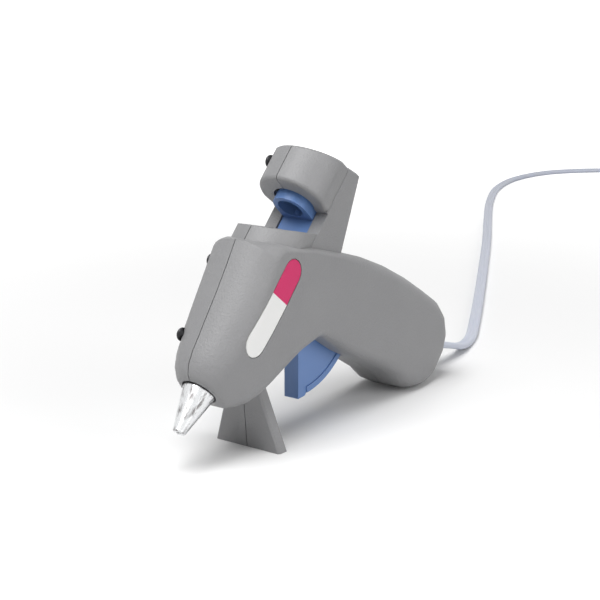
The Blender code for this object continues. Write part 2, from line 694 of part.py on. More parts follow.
def melt_barrel(finish, frame):
    start = NOZZLE_LENGTH + NOZZLE_FLANGE + CLEARANCE
    step = start + COLLAR_RING_LENGTH + CLEARANCE
    spigot_end = BARREL_END + SPIGOT_LENGTH
    barrel = turned("melt_barrel", [
        (start, 0), (start, NOSE_SPIGOT_RADIUS), (step, NOSE_SPIGOT_RADIUS), (step, BARREL_RADIUS),
        (BARREL_END, BARREL_RADIUS), (BARREL_END, SPIGOT_RADIUS), (spigot_end, SPIGOT_RADIUS), (spigot_end, 0)],
        finish, frame)
    join(barrel, box(
        "barrel_saddle", (SADDLE_START, -SADDLE_HALF_WIDTH, -SADDLE_DEPTH),
        (SADDLE_START + SADDLE_LENGTH, SADDLE_HALF_WIDTH, -BARREL_RADIUS / 2), None, frame))
    return cut(barrel, turned("barrel_bore", [
        (start - OVERRUN, 0), (start - OVERRUN, STICK_BORE_RADIUS),
        (spigot_end + OVERRUN, STICK_BORE_RADIUS), (spigot_end + OVERRUN, 0)], None, frame))


def heater(finish, frame):
    start = SADDLE_START + (SADDLE_LENGTH - HEATER_LENGTH) / 2
    top = -SADDLE_DEPTH - CLEARANCE
    return box(
        "heater", (start, -HEATER_HALF_WIDTH, top - HEATER_THICKNESS),
        (start + HEATER_LENGTH, HEATER_HALF_WIDTH, top), finish, frame)


def band_outline(radius, floor):
    outline = []
    steps = 16
    for step in range(steps + 1):
        angle = math.pi * step / steps
        outline.append((radius * math.cos(angle), radius * math.sin(angle)))
    return outline + [(-radius, floor), (radius, floor)]


def heater_clip(finish, frame):
    """A sprung steel strap that holds the heater against the barrel."""
    start = SADDLE_START + SADDLE_LENGTH / 2 - CLIP_LENGTH / 3
    inner = BARREL_RADIUS + CLEARANCE
    floor = -SADDLE_DEPTH - HEATER_THICKNESS - 2 * CLEARANCE
    strap = prism(
        "heater_clip", band_outline(inner + CLIP_THICKNESS, floor - CLIP_THICKNESS), start, start + CLIP_LENGTH, "X",
        finish, frame)
    return cut(strap, prism(
        "heater_clip_inside", band_outline(inner, floor), start - OVERRUN, start + CLIP_LENGTH + OVERRUN, "X",
        parent=frame))


def stick_sleeve(finish, frame):
    start = BARREL_END + CLEARANCE
    step = BARREL_END + SPIGOT_LENGTH + CLEARANCE
    end = start + SLEEVE_LENGTH
    spigot = SPIGOT_RADIUS + CLEARANCE
    return turned("stick_sleeve", [
        (start, spigot), (start, SLEEVE_RADIUS), (end, SLEEVE_RADIUS), (end, STICK_BORE_RADIUS + SLEEVE_FUNNEL),
        (end - SLEEVE_FUNNEL * 2, STICK_BORE_RADIUS), (step, STICK_BORE_RADIUS), (step, spigot)], finish, frame)


def sleeve_clamp(finish, frame):
    """The wire hose clip that squeezes the sleeve on the barrel's spigot, with its two pinch ears fused."""
    start = BARREL_END + SPIGOT_LENGTH / 3
    inner = SLEEVE_RADIUS + CLEARANCE
    outer = inner + HOSE_CLIP_THICKNESS
    ring = turned("sleeve_clamp", [
        (start, inner), (start, outer), (start + HOSE_CLIP_LENGTH, outer), (start + HOSE_CLIP_LENGTH, inner)],
        finish, frame)
    return join(ring, box(
        "sleeve_clamp_ear", (start + HOSE_CLIP_THICKNESS / 2, -HOSE_CLIP_THICKNESS, inner + HOSE_CLIP_THICKNESS / 2),
        (start + HOSE_CLIP_LENGTH - HOSE_CLIP_THICKNESS / 2, HOSE_CLIP_THICKNESS, outer + HOSE_CLIP_LUG), None, frame))


def feed_pin_place():
    """The feeder pin's place along the barrel at rest, and how far below the axis."""
    return PIVOT_ALONG + LEVER_REACH * math.tan(TRIGGER_SWING / 2), PIVOT_DROP - LEVER_REACH


def feeder(finish, frame):
    """The sliding plate with its gripping ring, tooth and the lug that the trigger pushes."""
    top = -FEEDER_TOP_DROP
    base = top - FEEDER_THICKNESS
    end = RING_FRONT + RING_THICKNESS + FEEDER_TAIL
    slide = box("feeder", (FEEDER_FRONT, -FEEDER_HALF_WIDTH, base), (end, FEEDER_HALF_WIDTH, top), finish, frame)
    outer = RING_BORE_RADIUS + RING_WALL
    join(slide, prism(
        "feeder_ring", band_outline(outer, (top + base) / 2), RING_FRONT, RING_FRONT + RING_THICKNESS, "X",
        parent=frame))
    pin_along, pin_drop = feed_pin_place()
    join(slide, box(
        "feeder_lug", (pin_along - LUG_LENGTH / 2, -LUG_HALF_WIDTH, -pin_drop - LUG_LENGTH / 2),
        (pin_along + LUG_LENGTH / 2, LUG_HALF_WIDTH, base + FEEDER_THICKNESS / 2), None, frame))
    cut(slide, turned("feeder_bore", [
        (RING_FRONT - OVERRUN, 0), (RING_FRONT - OVERRUN, RING_BORE_RADIUS),
        (end + OVERRUN, RING_BORE_RADIUS), (end + OVERRUN, 0)], None, frame, 32))
    join(slide, prism(
        "feeder_tooth", [
            (-TOOTH_HALF_WIDTH, top + FEEDER_THICKNESS / 4), (TOOTH_HALF_WIDTH, top + FEEDER_THICKNESS / 4),
            (0, -RING_BORE_RADIUS + TOOTH_RISE)],
        RING_FRONT + RING_THICKNESS / 8, RING_FRONT + RING_THICKNESS / 2, "X", parent=frame))
    wide = LUG_HALF_WIDTH + OVERRUN
    return cut(slide, rod_y(
        "feeder_pin_hole", FEED_PIN_RADIUS + RUNNING_CLEARANCE, -wide, wide, (pin_along, -pin_drop), None, frame))


def feeder_pin(finish, frame):
    along, drop = feed_pin_place()
    return smooth(rod_y(
        "feeder_pin", FEED_PIN_RADIUS, -TRIGGER_HALF_WIDTH, TRIGGER_HALF_WIDTH, (along, -drop), finish, frame))


def sector_outline(inner, outer, start, end, steps):
    outer_arc = [
        (outer * math.cos(start + (end - start) * step / steps), outer * math.sin(start + (end - start) * step / steps))
        for step in range(steps + 1)
    ]
    inner_arc = [
        (inner * math.cos(start + (end - start) * step / steps), inner * math.sin(start + (end - start) * step / steps))
        for step in range(steps + 1)
    ]
    return outer_arc + inner_arc[::-1]


def trigger(finish):
    """The sector trigger about its pivot, with the forked lever that drives the feeder."""
    hinge = bpy.data.objects.new("trigger_hinge", None)
    bpy.context.collection.objects.link(hinge)
    hinge.location = (PIVOT_X, 0, PIVOT_Z)
    web = TRIGGER_HALF_WIDTH - TRIGGER_RIM_STEP
    face = -TRIGGER_FACE_SETBACK
    toe_angle, heel_angle = math.radians(-84), math.radians(-43)
    outline = [(face, 0), (face, -TRIGGER_TOE), (-face * 2.8, -TRIGGER_TOE + TRIGGER_RIM_STEP)]
    steps = 14
    for step in range(steps + 1):
        angle = toe_angle + (heel_angle - toe_angle) * step / steps
        outline.append((TRIGGER_RADIUS * math.cos(angle), TRIGGER_RADIUS * math.sin(angle)))
    outline.append((HUB_RADIUS, 0))
    body = prism("trigger", outline, -web, web, "Y", finish, hinge)
    rim = sector_outline(TRIGGER_RADIUS - TRIGGER_RIM, TRIGGER_RADIUS, toe_angle, heel_angle, steps)
    join(body, prism("trigger_rim", rim, -TRIGGER_HALF_WIDTH, TRIGGER_HALF_WIDTH, "Y", parent=hinge))
    join(body, rod_y("trigger_hub", HUB_RADIUS, -TRIGGER_HALF_WIDTH, TRIGGER_HALF_WIDTH, (0, 0), None, hinge, 28))
    lever_angle = math.radians(90) + BARREL_TILT - TRIGGER_SWING / 2
    lever = bpy.data.objects.new("lever_frame", None)
    bpy.context.collection.objects.link(lever)
    lever.parent = hinge
    lever.rotation_euler = (0, -lever_angle, 0)
    tip = LEVER_REACH + FEED_PIN_RADIUS + LEVER_HALF_WIDTH / 6
    join(body, box(
        "trigger_lever", (0, -TRIGGER_HALF_WIDTH, -LEVER_HALF_WIDTH), (tip, TRIGGER_HALF_WIDTH, LEVER_HALF_WIDTH),
        None, lever))
    fork_gap = LUG_HALF_WIDTH + CLEARANCE
    throat = LEVER_REACH - LUG_LENGTH / 2 - LEVER_HALF_WIDTH / 3
    cut(body, box(
        "trigger_fork", (throat, -fork_gap, -LEVER_HALF_WIDTH * 2), (tip + OVERRUN, fork_gap, LEVER_HALF_WIDTH * 2),
        None, lever))
    slot = FEED_PIN_RADIUS + CLEARANCE
    cut(body, box(
        "trigger_slot", (LEVER_REACH - FEED_PIN_RADIUS * 1.5, -TRIGGER_HALF_WIDTH * 2, -slot),
        (tip + OVERRUN, TRIGGER_HALF_WIDTH * 2, slot), None, lever))
    return cut(body, rod_y(
        "trigger_bore", PIVOT_PIN_RADIUS + RUNNING_CLEARANCE, -TRIGGER_HALF_WIDTH * 2, TRIGGER_HALF_WIDTH * 2, (0, 0), None,
        hinge, 24))


def trigger_pin(finish):
    return smooth(rod_y(
        "trigger_pin", PIVOT_PIN_RADIUS, -PIVOT_PIN_HALF_LENGTH, PIVOT_PIN_HALF_LENGTH, (PIVOT_X, PIVOT_Z), finish))


def tube(name, points, radius, finish, parent=None, resolution=2, flat=0.0, tilt=0.0):
    """A cord or wire through points, drawn flat where the cord is a flat twin."""
    path = bpy.data.curves.new(name, "CURVE")
    path.dimensions = "3D"
    path.twist_mode = "Z_UP"
    path.bevel_depth = radius
    path.extrude = flat
    path.bevel_resolution = resolution
    path.use_fill_caps = True
    line = path.splines.new("POLY")
    line.points.add(len(points) - 1)
    for place, point in zip(line.points, points):
        place.co = (*point, 1)
        place.tilt = tilt
    path.materials.append(finish)
    item = bpy.data.objects.new(name, path)
    bpy.context.collection.objects.link(item)
    item.parent = parent
    return item


def smooth_route(points, spacing):
    """Points a fixed spacing apart on one smooth curve through the given ones."""
    points = [Vector(point) for point in points]
    ends = [points[0] * 2 - points[1], *points, points[-1] * 2 - points[-2]]
    dense = []
    for index in range(1, len(ends) - 2):
        before, start, end, after = ends[index - 1:index + 3]
        for step in range(24):
            t = step / 24
            dense.append(0.5 * (
                2 * start + (end - before) * t + (2 * before - 5 * start + 4 * end - after) * t * t
                + (3 * start - before - 3 * end + after) * t ** 3))
    dense.append(points[-1])
    lengths = [0.0]
    for first, second in zip(dense, dense[1:]):
        lengths.append(lengths[-1] + (second - first).length)
    count = max(2, round(lengths[-1] / spacing))
    route = []
    index = 0
    for step in range(count + 1):
        wanted = lengths[-1] * step / count
        while index < len(lengths) - 2 and lengths[index + 1] < wanted:
            index += 1
        share = (wanted - lengths[index]) / max(lengths[index + 1] - lengths[index], 1e-9)
        route.append(dense[index].lerp(dense[index + 1], min(share, 1)))
    return route, lengths[-1]


def return_spring(finish, frame):
    """The compression spring between the shelf in the shells and the feeder's lug."""
    pin_along, pin_drop = feed_pin_place()
    start = SPRING_SHELF + RIB_THICKNESS + CLEARANCE + SPRING_WIRE
    end = pin_along - LUG_LENGTH / 2 - CLEARANCE - SPRING_WIRE
    count = SPRING_CURLS * CURL_POINTS
    points = []
    for step in range(count + 1):
        angle = math.tau * step / CURL_POINTS
        points.append((
            start + (end - start) * step / count, SPRING_RADIUS * math.cos(angle),
            -pin_drop + SPRING_RADIUS * math.sin(angle)))
    return tube("return_spring", points, SPRING_WIRE, finish, frame, 1)


def screw(index, place, finish):
    """A pan-head screw along Y, driven from the right-hand side."""
    x, z, seat = place
    edge = SCREW_HEAD_HEIGHT / 2
    head = seat + CLEARANCE
    holder = bpy.data.objects.new(f"screw_frame_{index}", None)
    bpy.context.collection.objects.link(holder)
    holder.location = (x, 0, z)
    holder.rotation_euler = (0, 0, math.radians(90))
    return turned(f"housing_screw_{index}", [
        (-SCREW_REACH, 0), (-SCREW_REACH + SCREW_RADIUS, SCREW_RADIUS), (head, SCREW_RADIUS),
        (head, SCREW_HEAD_RADIUS), (head + edge, SCREW_HEAD_RADIUS),
        (head + SCREW_HEAD_HEIGHT, SCREW_HEAD_RADIUS * 0.6), (head + SCREW_HEAD_HEIGHT, 0)],
        finish, holder, SMALL_ROUND_SIDES)


def heater_lead(index, side, finish):
    start_along = SADDLE_START + (SADDLE_LENGTH + HEATER_LENGTH) / 2 + CLEARANCE
    drop = SADDLE_DEPTH + CLEARANCE + HEATER_THICKNESS / 2
    route = []
    for along in (start_along, start_along + LEAD_RADIUS * 2, start_along + LEAD_RADIUS * 4):
        x, z = barrel_place(along, -drop)
        route.append((x, side * HEATER_HALF_WIDTH * 0.7, z))
    for along, up, out in LEAD_ROUTE_SHARES:
        x, z = handle_place(along, up)
        route.append((x, side * out * HALF_WIDTH, z))
    crimp_start = crimp_place()[0]
    reach = Vector((math.cos(CORD_ANGLE), 0, -math.sin(CORD_ANGLE)))
    tail = Vector((CORD_EXIT_X, side * CRIMP_SPACING, CORD_EXIT_Z)) + reach * crimp_start
    route += [tail - reach * CRIMP_RADIUS * 2, tail - reach * CLEARANCE]
    points, _ = smooth_route(route, LEAD_RADIUS * 3.5)
    return tube(f"heater_lead_{index}", points, LEAD_RADIUS, finish, None, 1)


def crimp_place():
    """Start and end of the crimped joints, measured back along the cord from its exit."""
    end = -CORD_INSIDE_LENGTH - CLEARANCE
    return end - CRIMP_LENGTH, end


def crimp(index, side, finish, cord):
    start, end = crimp_place()
    joint = turned(f"lead_crimp_{index}", [
        (0, 0), (0, CRIMP_RADIUS * 0.75), (CRIMP_RADIUS / 2, CRIMP_RADIUS), (end - start, CRIMP_RADIUS), (end - start, 0)],
        finish, cord, SMALL_ROUND_SIDES)
    joint.location = (start, side * CRIMP_SPACING, 0)
    return joint


def cord_inside(finish, cord):
    points = [(-CORD_INSIDE_LENGTH * (1 - step / 4) - CLEARANCE * (step / 4), 0, 0) for step in range(5)]
    return tube(
        "cord_inside", points, CORD_THICKNESS / 2, finish, cord, 2, (CORD_WIDTH - CORD_THICKNESS) / 2, math.radians(90))


def cord_run(finish):
    """The loose cord from the butt to the coil."""
    reach = Vector((math.cos(CORD_ANGLE), 0, -math.sin(CORD_ANGLE)))
    start = Vector((CORD_EXIT_X, 0, CORD_EXIT_Z))
    level = CORD_THICKNESS / 2 + COIL_LIFT
    entry = Vector((COIL_ENTRY_X, COIL_ENTRY_Y, level))
    lead_in = [entry + Vector((-CORD_WIDTH * 0.2, CORD_WIDTH * 3, 0)), entry + Vector((0, CORD_WIDTH, 0)),
               entry + Vector((0, CLEARANCE, 0))]
    route = [start, start + reach * CORD_WIDTH, *CORD_ROUTE, *lead_in]
    points, length = smooth_route(route, CORD_WIDTH * 2.1)
    tube("cord_run", points, CORD_THICKNESS / 2, finish, None, 2, (CORD_WIDTH - CORD_THICKNESS) / 2, math.radians(90))
    return length


def coil_centre():
    return Vector((COIL_ENTRY_X - COIL_RADIUS, COIL_ENTRY_Y - CORD_WIDTH, 0))


def coil_points():
    """Spirals in on the lower layer and out on the upper one, climbing where it turns back."""
    centre = coil_centre()
    level = CORD_THICKNESS / 2 + COIL_LIFT
    count = COIL_TURNS * COIL_TURN_POINTS
    middle = COIL_TURNS / 2
    points = [centre + Vector((COIL_RADIUS, 0, level))]
    for step in range(1, count + 1):
        turns = step / COIL_TURN_POINTS
        radius = COIL_RADIUS - COIL_PITCH * min(turns, COIL_TURNS - turns)
        climb = min(max((turns - middle + 0.25) / 0.5, 0), 1)
        climb = climb * climb * (3 - 2 * climb)
        angle = -math.tau * turns
        points.append(centre + Vector((radius * math.cos(angle), radius * math.sin(angle), level + COIL_LAYER * climb)))
    return points


def least_coil_gap(points):
    """The least gap between two turns, measured between the cores of the flat cord."""
    half = (CORD_WIDTH - CORD_THICKNESS) / 2
    centre = coil_centre()
    cores = []
    for point in points:
        out = Vector((point.x - centre.x, point.y - centre.y, 0)).normalized()
        cores.append([point + out * half * share for share in (-1, -0.5, 0, 0.5, 1)])
    least = math.inf
    apart = COIL_TURN_POINTS // 2
    for index, first in enumerate(cores):
        for second in cores[index + apart:]:
            for a in first:
                for b in second:
                    least = min(least, (a - b).length - CORD_THICKNESS)
    return least


def cord_coil(finish):
    points = coil_points()
    tail = points[-1]
    points.append(tail + Vector((0, -CORD_WIDTH, 0)))
    points[0:1] = [Vector((COIL_ENTRY_X, COIL_ENTRY_Y, points[0].z)), coil_centre() + Vector((COIL_RADIUS, 0, points[0].z))]
    print(f"least gap between the coil's turns {least_coil_gap(points[1:-1]) * 1000:.2f} mm")
    length = sum((b - a).length for a, b in zip(points, points[1:]))
    tube("cord_coil", points, CORD_THICKNESS / 2, finish, None, 1, (CORD_WIDTH - CORD_THICKNESS) / 2, math.radians(90))
    return length


def coil_tie(finish):
    """A soft strap through the coil and round its strands, opposite the cord's entry."""
    centre = coil_centre()
    turns = 0.5
    inner_radius = COIL_RADIUS - COIL_PITCH * (COIL_TURNS - 1) / 2 - CORD_WIDTH / 2
    outer_radius = COIL_RADIUS - COIL_PITCH * turns + CORD_WIDTH / 2
    low = COIL_LIFT - CLEARANCE
    high = COIL_LIFT + COIL_LAYER + CORD_THICKNESS + CLEARANCE

    def loop(name, growth, half):
        left = centre.x - outer_radius - CLEARANCE - growth
        right = centre.x - inner_radius + CLEARANCE + growth
        bottom, top = low - growth, high + growth
        corner = CORD_THICKNESS / 3
        outline = [
            (left + corner, bottom), (right - corner, bottom), (right, bottom + corner), (right, top - corner),
            (right - corner, top), (left + corner, top), (left, top - corner), (left, bottom + corner)]
        return prism(name, outline, centre.y - half, centre.y + half, "Y", finish if growth else None)

    strap = loop("coil_tie", TIE_THICKNESS, TIE_WIDTH / 2)
    return cut(strap, loop("coil_tie_inside", 0, TIE_WIDTH))


def plug_frame():
    """An empty at the plug's neck, X pointing on towards the blades."""
    end = coil_points()[-1]
    frame = bpy.data.objects.new("plug_frame", None)
    bpy.context.collection.objects.link(frame)
    frame.location = (end.x, end.y - PLUG_TAIL, PLUG_WIDTH / 2)
    frame.rotation_euler = (0, 0, math.radians(-90))
    return frame


def cord_tail(finish):
    """The last short stretch, from the coil down to the plug's neck."""
    end = coil_points()[-1]
    start = end + Vector((0, -CORD_WIDTH - CLEARANCE, 0))
    neck = Vector((end.x, end.y - PLUG_TAIL + CLEARANCE, PLUG_WIDTH / 2))
    route = [start, start + Vector((0, -CORD_WIDTH, 0)), neck + Vector((0, CORD_WIDTH, 0)), neck]
    points, length = smooth_route(route, CORD_WIDTH)
    tube("cord_tail", points, CORD_THICKNESS / 2, finish, None, 2, (CORD_WIDTH - CORD_THICKNESS) / 2, math.radians(90))
    return length


def plug(finish, frame):
    """The moulded two-blade plug, lying on its side: a flat face in front, a neck behind."""
    rings = []
    for along, width, height in (
        (0, PLUG_NECK_WIDTH, PLUG_NECK_WIDTH), (PLUG_LENGTH * 0.35, PLUG_WIDTH * 0.8, PLUG_NECK_WIDTH * 1.2),
        (PLUG_LENGTH * 0.6, PLUG_WIDTH * 0.8, PLUG_HEIGHT * 0.8), (PLUG_LENGTH * 0.85, PLUG_WIDTH, PLUG_HEIGHT),
        (PLUG_LENGTH, PLUG_WIDTH, PLUG_HEIGHT),
    ):
        corner = width / 4
        half_w, half_h = width / 2, height / 2
        rings.append([
            (along, y, z) for y, z in (
                (half_h - corner, half_w), (half_h, half_w - corner), (half_h, corner - half_w), (half_h - corner, -half_w),
                (corner - half_h, -half_w), (-half_h, corner - half_w), (-half_h, half_w - corner),
                (corner - half_h, half_w))])
    body = lofted("plug_body", rings, finish, frame)
    for side in (-1, 1):
        wide, thick = BLADE_WIDTH / 2 + CLEARANCE, BLADE_THICKNESS / 2 + CLEARANCE
        y = side * BLADE_SPACING / 2
        cut(body, box(
            f"blade_socket_{side + 2}", (PLUG_LENGTH * 0.6, y - thick, -wide), (PLUG_LENGTH + OVERRUN, y + thick, wide),
            None, frame))
    return body


def plug_blade(index, side, finish, frame):
    y = side * BLADE_SPACING / 2
    start = PLUG_LENGTH * 0.6 + CLEARANCE
    tip = PLUG_LENGTH + BLADE_LENGTH
    taper = BLADE_WIDTH / 5
    outline = [
        (start, -BLADE_WIDTH / 2), (tip - taper, -BLADE_WIDTH / 2), (tip, -BLADE_WIDTH / 2 + taper),
        (tip, BLADE_WIDTH / 2 - taper), (tip - taper, BLADE_WIDTH / 2), (start, BLADE_WIDTH / 2)]
    return prism(
        f"plug_blade_{index}", outline, y - BLADE_THICKNESS / 2, y + BLADE_THICKNESS / 2, "Y", finish, frame)


def build():
    clear_scene()
    grey = material("housing_grey", (0.245, 0.243, 0.247), 0.48)
    blue = material("feed_blue", (0.105, 0.22, 0.50), 0.42)
    alloy = material("nozzle_alloy", (0.72, 0.73, 0.75), 0.22, 1.0)
    cast = material("barrel_alloy", (0.56, 0.56, 0.57), 0.45, 1.0)
    steel = material("spring_steel", (0.50, 0.50, 0.52), 0.30, 1.0)
    black_steel = material("screw_black", (0.05, 0.05, 0.055), 0.35, 0.8)
    resin = material("collar_black", (0.025, 0.025, 0.027), 0.60)
    silicone = material("sleeve_silicone", (0.55, 0.13, 0.08), 0.70)
    ceramic = material("heater_wrap", (0.72, 0.60, 0.30), 0.65)
    lead_skin = material("lead_sleeving", (0.72, 0.70, 0.64), 0.80)
    crimp_skin = material("crimp_nylon", (0.62, 0.62, 0.60), 0.50)
    paper = material("label_film", (0.60, 0.03, 0.20), 0.30)
    cord_skin = material("cord_vinyl", (0.62, 0.66, 0.73), 0.40)
    tie_skin = material("tie_vinyl", (0.03, 0.03, 0.03), 0.60)
    brass = material("blade_nickel", (0.66, 0.62, 0.52), 0.28, 1.0)

    frame = bpy.data.objects.new("barrel_frame", None)
    bpy.context.collection.objects.link(frame)
    frame.location = (TIP_X, 0, TIP_Z)
    frame.rotation_euler = (0, -BARREL_TILT, 0)
    cord = cord_frame("cord_exit")
    bpy.context.view_layer.update()

    shell("housing_left", -1, grey, frame, cord)
    shell("housing_right", 1, grey, frame, cord)
    label(paper, frame)
    nozzle(alloy, frame)
    nose_collar(resin, frame)
    melt_barrel(cast, frame)
    heater(ceramic, frame)
    heater_clip(steel, frame)
    stick_sleeve(silicone, frame)
    sleeve_clamp(steel, frame)
    feeder(blue, frame)
    feeder_pin(steel, frame)
    trigger(blue)
    trigger_pin(steel)
    return_spring(steel, frame)
    for index, place in enumerate(screw_places(), 1):
        screw(index, place, black_steel)
    for index, side in enumerate((-1, 1), 1):
        heater_lead(index, side, lead_skin)
        crimp(index, side, crimp_skin, cord)
    cord_inside(cord_skin, cord)
    run = cord_run(cord_skin)
    coiled = cord_coil(cord_skin)
    tail = cord_tail(cord_skin)
    print(f"cord outside the gun {run + coiled + tail:.3f} m")
    coil_tie(tie_skin)
    holder = plug_frame()
    plug(cord_skin, holder)
    for index, side in enumerate((-1, 1), 1):
        plug_blade(index, side, brass, holder)
    bpy.context.view_layer.update()


build()
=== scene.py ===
import math

import bmesh
import bpy
from mathutils import Matrix, Vector


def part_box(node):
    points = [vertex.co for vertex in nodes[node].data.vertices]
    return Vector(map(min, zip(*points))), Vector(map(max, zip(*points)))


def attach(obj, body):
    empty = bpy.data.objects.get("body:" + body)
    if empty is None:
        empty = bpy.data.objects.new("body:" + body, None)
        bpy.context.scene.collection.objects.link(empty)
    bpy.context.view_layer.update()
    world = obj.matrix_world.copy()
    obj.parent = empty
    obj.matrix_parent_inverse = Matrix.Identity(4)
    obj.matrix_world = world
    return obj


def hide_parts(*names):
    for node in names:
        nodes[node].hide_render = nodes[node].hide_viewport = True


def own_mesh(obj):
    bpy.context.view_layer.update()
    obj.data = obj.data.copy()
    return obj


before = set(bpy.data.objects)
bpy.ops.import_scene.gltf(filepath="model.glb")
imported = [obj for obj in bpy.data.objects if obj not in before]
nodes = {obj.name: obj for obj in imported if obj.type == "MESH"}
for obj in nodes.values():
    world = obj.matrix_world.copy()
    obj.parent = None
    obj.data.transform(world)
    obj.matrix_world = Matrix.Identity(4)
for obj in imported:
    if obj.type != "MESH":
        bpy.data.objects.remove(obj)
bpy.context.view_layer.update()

scene = bpy.context.scene
scene.view_settings.view_transform = "Standard"

# The camera stands in front of the gun's nose and to its left, a little above it,
# with the long lens and the level horizon of a product photograph.
camera_place = Vector((-0.44768, -0.33220, 0.18781))
camera_heading = math.radians(52.909)
camera_dip = math.radians(14.142)
looking = Vector((
    math.sin(camera_heading) * math.cos(camera_dip), math.cos(camera_heading) * math.cos(camera_dip),
    -math.sin(camera_dip)))
level = looking.cross(Vector((0, 0, 1))).normalized()
camera_data = bpy.data.cameras.new("product_camera")
camera_data.lens = 90.54
camera_data.sensor_width = 36
camera_data.clip_start = 0.01
camera_data.clip_end = 50
camera = bpy.data.objects.new("product_camera", camera_data)
scene.collection.objects.link(camera)
camera.matrix_world = (
    Matrix.Translation(camera_place) @ Matrix((level, level.cross(looking), -looking)).transposed().to_4x4())
scene.camera = camera

# The mains cord is a flat twin: two stranded cores in one extruded skin of pale soft vinyl, with a groove
# down the middle of each side. It leaves the butt, lies on the table, and its unused length is wound flat.
cord_width = 0.0054
cord_core = 0.00135
run_spacing = 0.005
tail_spacing = 0.004
lobe_sweep = 280
lobe_steps = 14
cord_route = (
    (0.1000, 0.0006, 0.0068), (0.1110, 0.0020, 0.0036), (0.1220, 0.0048, 0.00175), (0.1360, 0.0100, 0.00135),
    (0.1560, 0.0203, 0.00135), (0.1830, 0.0346, 0.00135), (0.2260, 0.0578, 0.00135),
    (0.2750, 0.0845, 0.00135), (0.3280, 0.1137, 0.00135), (0.3880, 0.1478, 0.00135),
    (0.4400, 0.1765, 0.00135), (0.4880, 0.1985, 0.00135), (0.5320, 0.2085, 0.00135),
    (0.5720, 0.2030, 0.00135), (0.6020, 0.1810, 0.00135), (0.6180, 0.1530, 0.00165),
)
cord_exit = Vector((0.0778, 0, 0.0130))
cord_fall = Vector((math.cos(math.radians(20)), 0, -math.sin(math.radians(20))))
coil_entry = Vector((0.6245, 0.1120, 0.00215))
coil_turns = 4
steps_per_turn = 36
coil_radius = 0.0345
coil_pitch = 0.0060
coil_step_up = 0.0036
plug_neck = Vector((0.6245, 0.1120 - cord_width - 0.0360 + 0.0003, 0.0075))


def even_route(points, spacing):
    """Points an even distance apart on one smooth curve through the given ones."""
    ends = [points[0] * 2 - points[1], *points, points[-1] * 2 - points[-2]]
    dense = []
    for index in range(1, len(ends) - 2):
        before, start, end, after = ends[index - 1:index + 3]
        for step in range(24):
            t = step / 24
            dense.append(0.5 * (
                2 * start + (end - before) * t + (2 * before - 5 * start + 4 * end - after) * t * t
                + (3 * start - before - 3 * end + after) * t ** 3))
    dense.append(points[-1])
    reached = [0.0]
    for first, second in zip(dense, dense[1:]):
        reached.append(reached[-1] + (second - first).length)
    count = max(2, round(reached[-1] / spacing))
    route = []
    index = 0
    for step in range(count + 1):
        wanted = reached[-1] * step / count
        while index < len(reached) - 2 and reached[index + 1] < wanted:
            index += 1
        share = (wanted - reached[index]) / max(reached[index + 1] - reached[index], 1e-9)
        route.append(dense[index].lerp(dense[index + 1], min(share, 1)))
    return route


coil_centre = Vector((coil_entry.x - coil_radius, coil_entry.y - cord_width, coil_entry.z))
coil_path = []
for step in range(coil_turns * steps_per_turn + 1):
    turns = step / steps_per_turn
    radius = coil_radius - coil_pitch * min(turns, coil_turns - turns)
    climb = min(max((turns - coil_turns / 2 + 0.25) / 0.5, 0), 1)
    climb = climb * climb * (3 - 2 * climb)
    angle = -math.tau * turns
    coil_path.append(coil_centre + Vector((
        radius * math.cos(angle), radius * math.sin(angle), coil_step_up * climb)))
run_path = even_route(
    [cord_exit, cord_exit + cord_fall * cord_width, *(Vector(point) for point in cord_route),
     coil_entry + Vector((-cord_width * 0.2, cord_width * 3, 0)), coil_entry + Vector((0, cord_width, 0)), coil_entry],
    run_spacing)
coil_leaves = coil_path[-1] + Vector((0, -cord_width, 0))
tail_path = even_route(
    [coil_leaves, coil_leaves + Vector((0, -cord_width, 0)), plug_neck + Vector((0, cord_width, 0)), plug_neck],
    tail_spacing)
cord_path = run_path + coil_path + tail_path

# Each lobe's arc stops short of the other's, which leaves the groove between the cores.
lobe = [math.radians(-lobe_sweep / 2 + lobe_sweep * step / lobe_steps) for step in range(lobe_steps + 1)]
cord_outline = [(cord_core + cord_core * math.cos(turn), cord_core * math.sin(turn)) for turn in lobe]
cord_outline += [(-cord_core - cord_core * math.cos(turn), -cord_core * math.sin(turn)) for turn in lobe]
cord_mesh = bpy.data.meshes.new("mains_cord")
cord_build = bmesh.new()
rings = []
for index, point in enumerate(cord_path):
    ahead = cord_path[min(index + 1, len(cord_path) - 1)] - cord_path[max(index - 1, 0)]
    ahead.normalize()
    across = ahead.cross(Vector((0, 0, 1))).normalized()
    over = across.cross(ahead)
    rings.append([cord_build.verts.new(point + across * u + over * v) for u, v in cord_outline])
run_layer = cord_build.loops.layers.uv.new("along_cord")
for index in range(len(rings) - 1):
    for turn in range(len(cord_outline)):
        after = (turn + 1) % len(cord_outline)
        face = cord_build.faces.new((
            rings[index][turn], rings[index][after], rings[index + 1][after], rings[index + 1][turn]))
        face.smooth = True
        corner_steps = ((index, turn), (index, turn + 1), (index + 1, turn + 1), (index + 1, turn))
        for loop, (along, round_share) in zip(face.loops, corner_steps):
            loop[run_layer].uv = (along * run_spacing, round_share / len(cord_outline))
cord_build.faces.new(rings[0][::-1])
cord_build.faces.new(rings[-1])
bmesh.ops.recalc_face_normals(cord_build, faces=cord_build.faces)
cord_build.to_mesh(cord_mesh)
cord_build.free()
mains_cord = bpy.data.objects.new("mains_cord", cord_mesh)
scene.collection.objects.link(mains_cord)


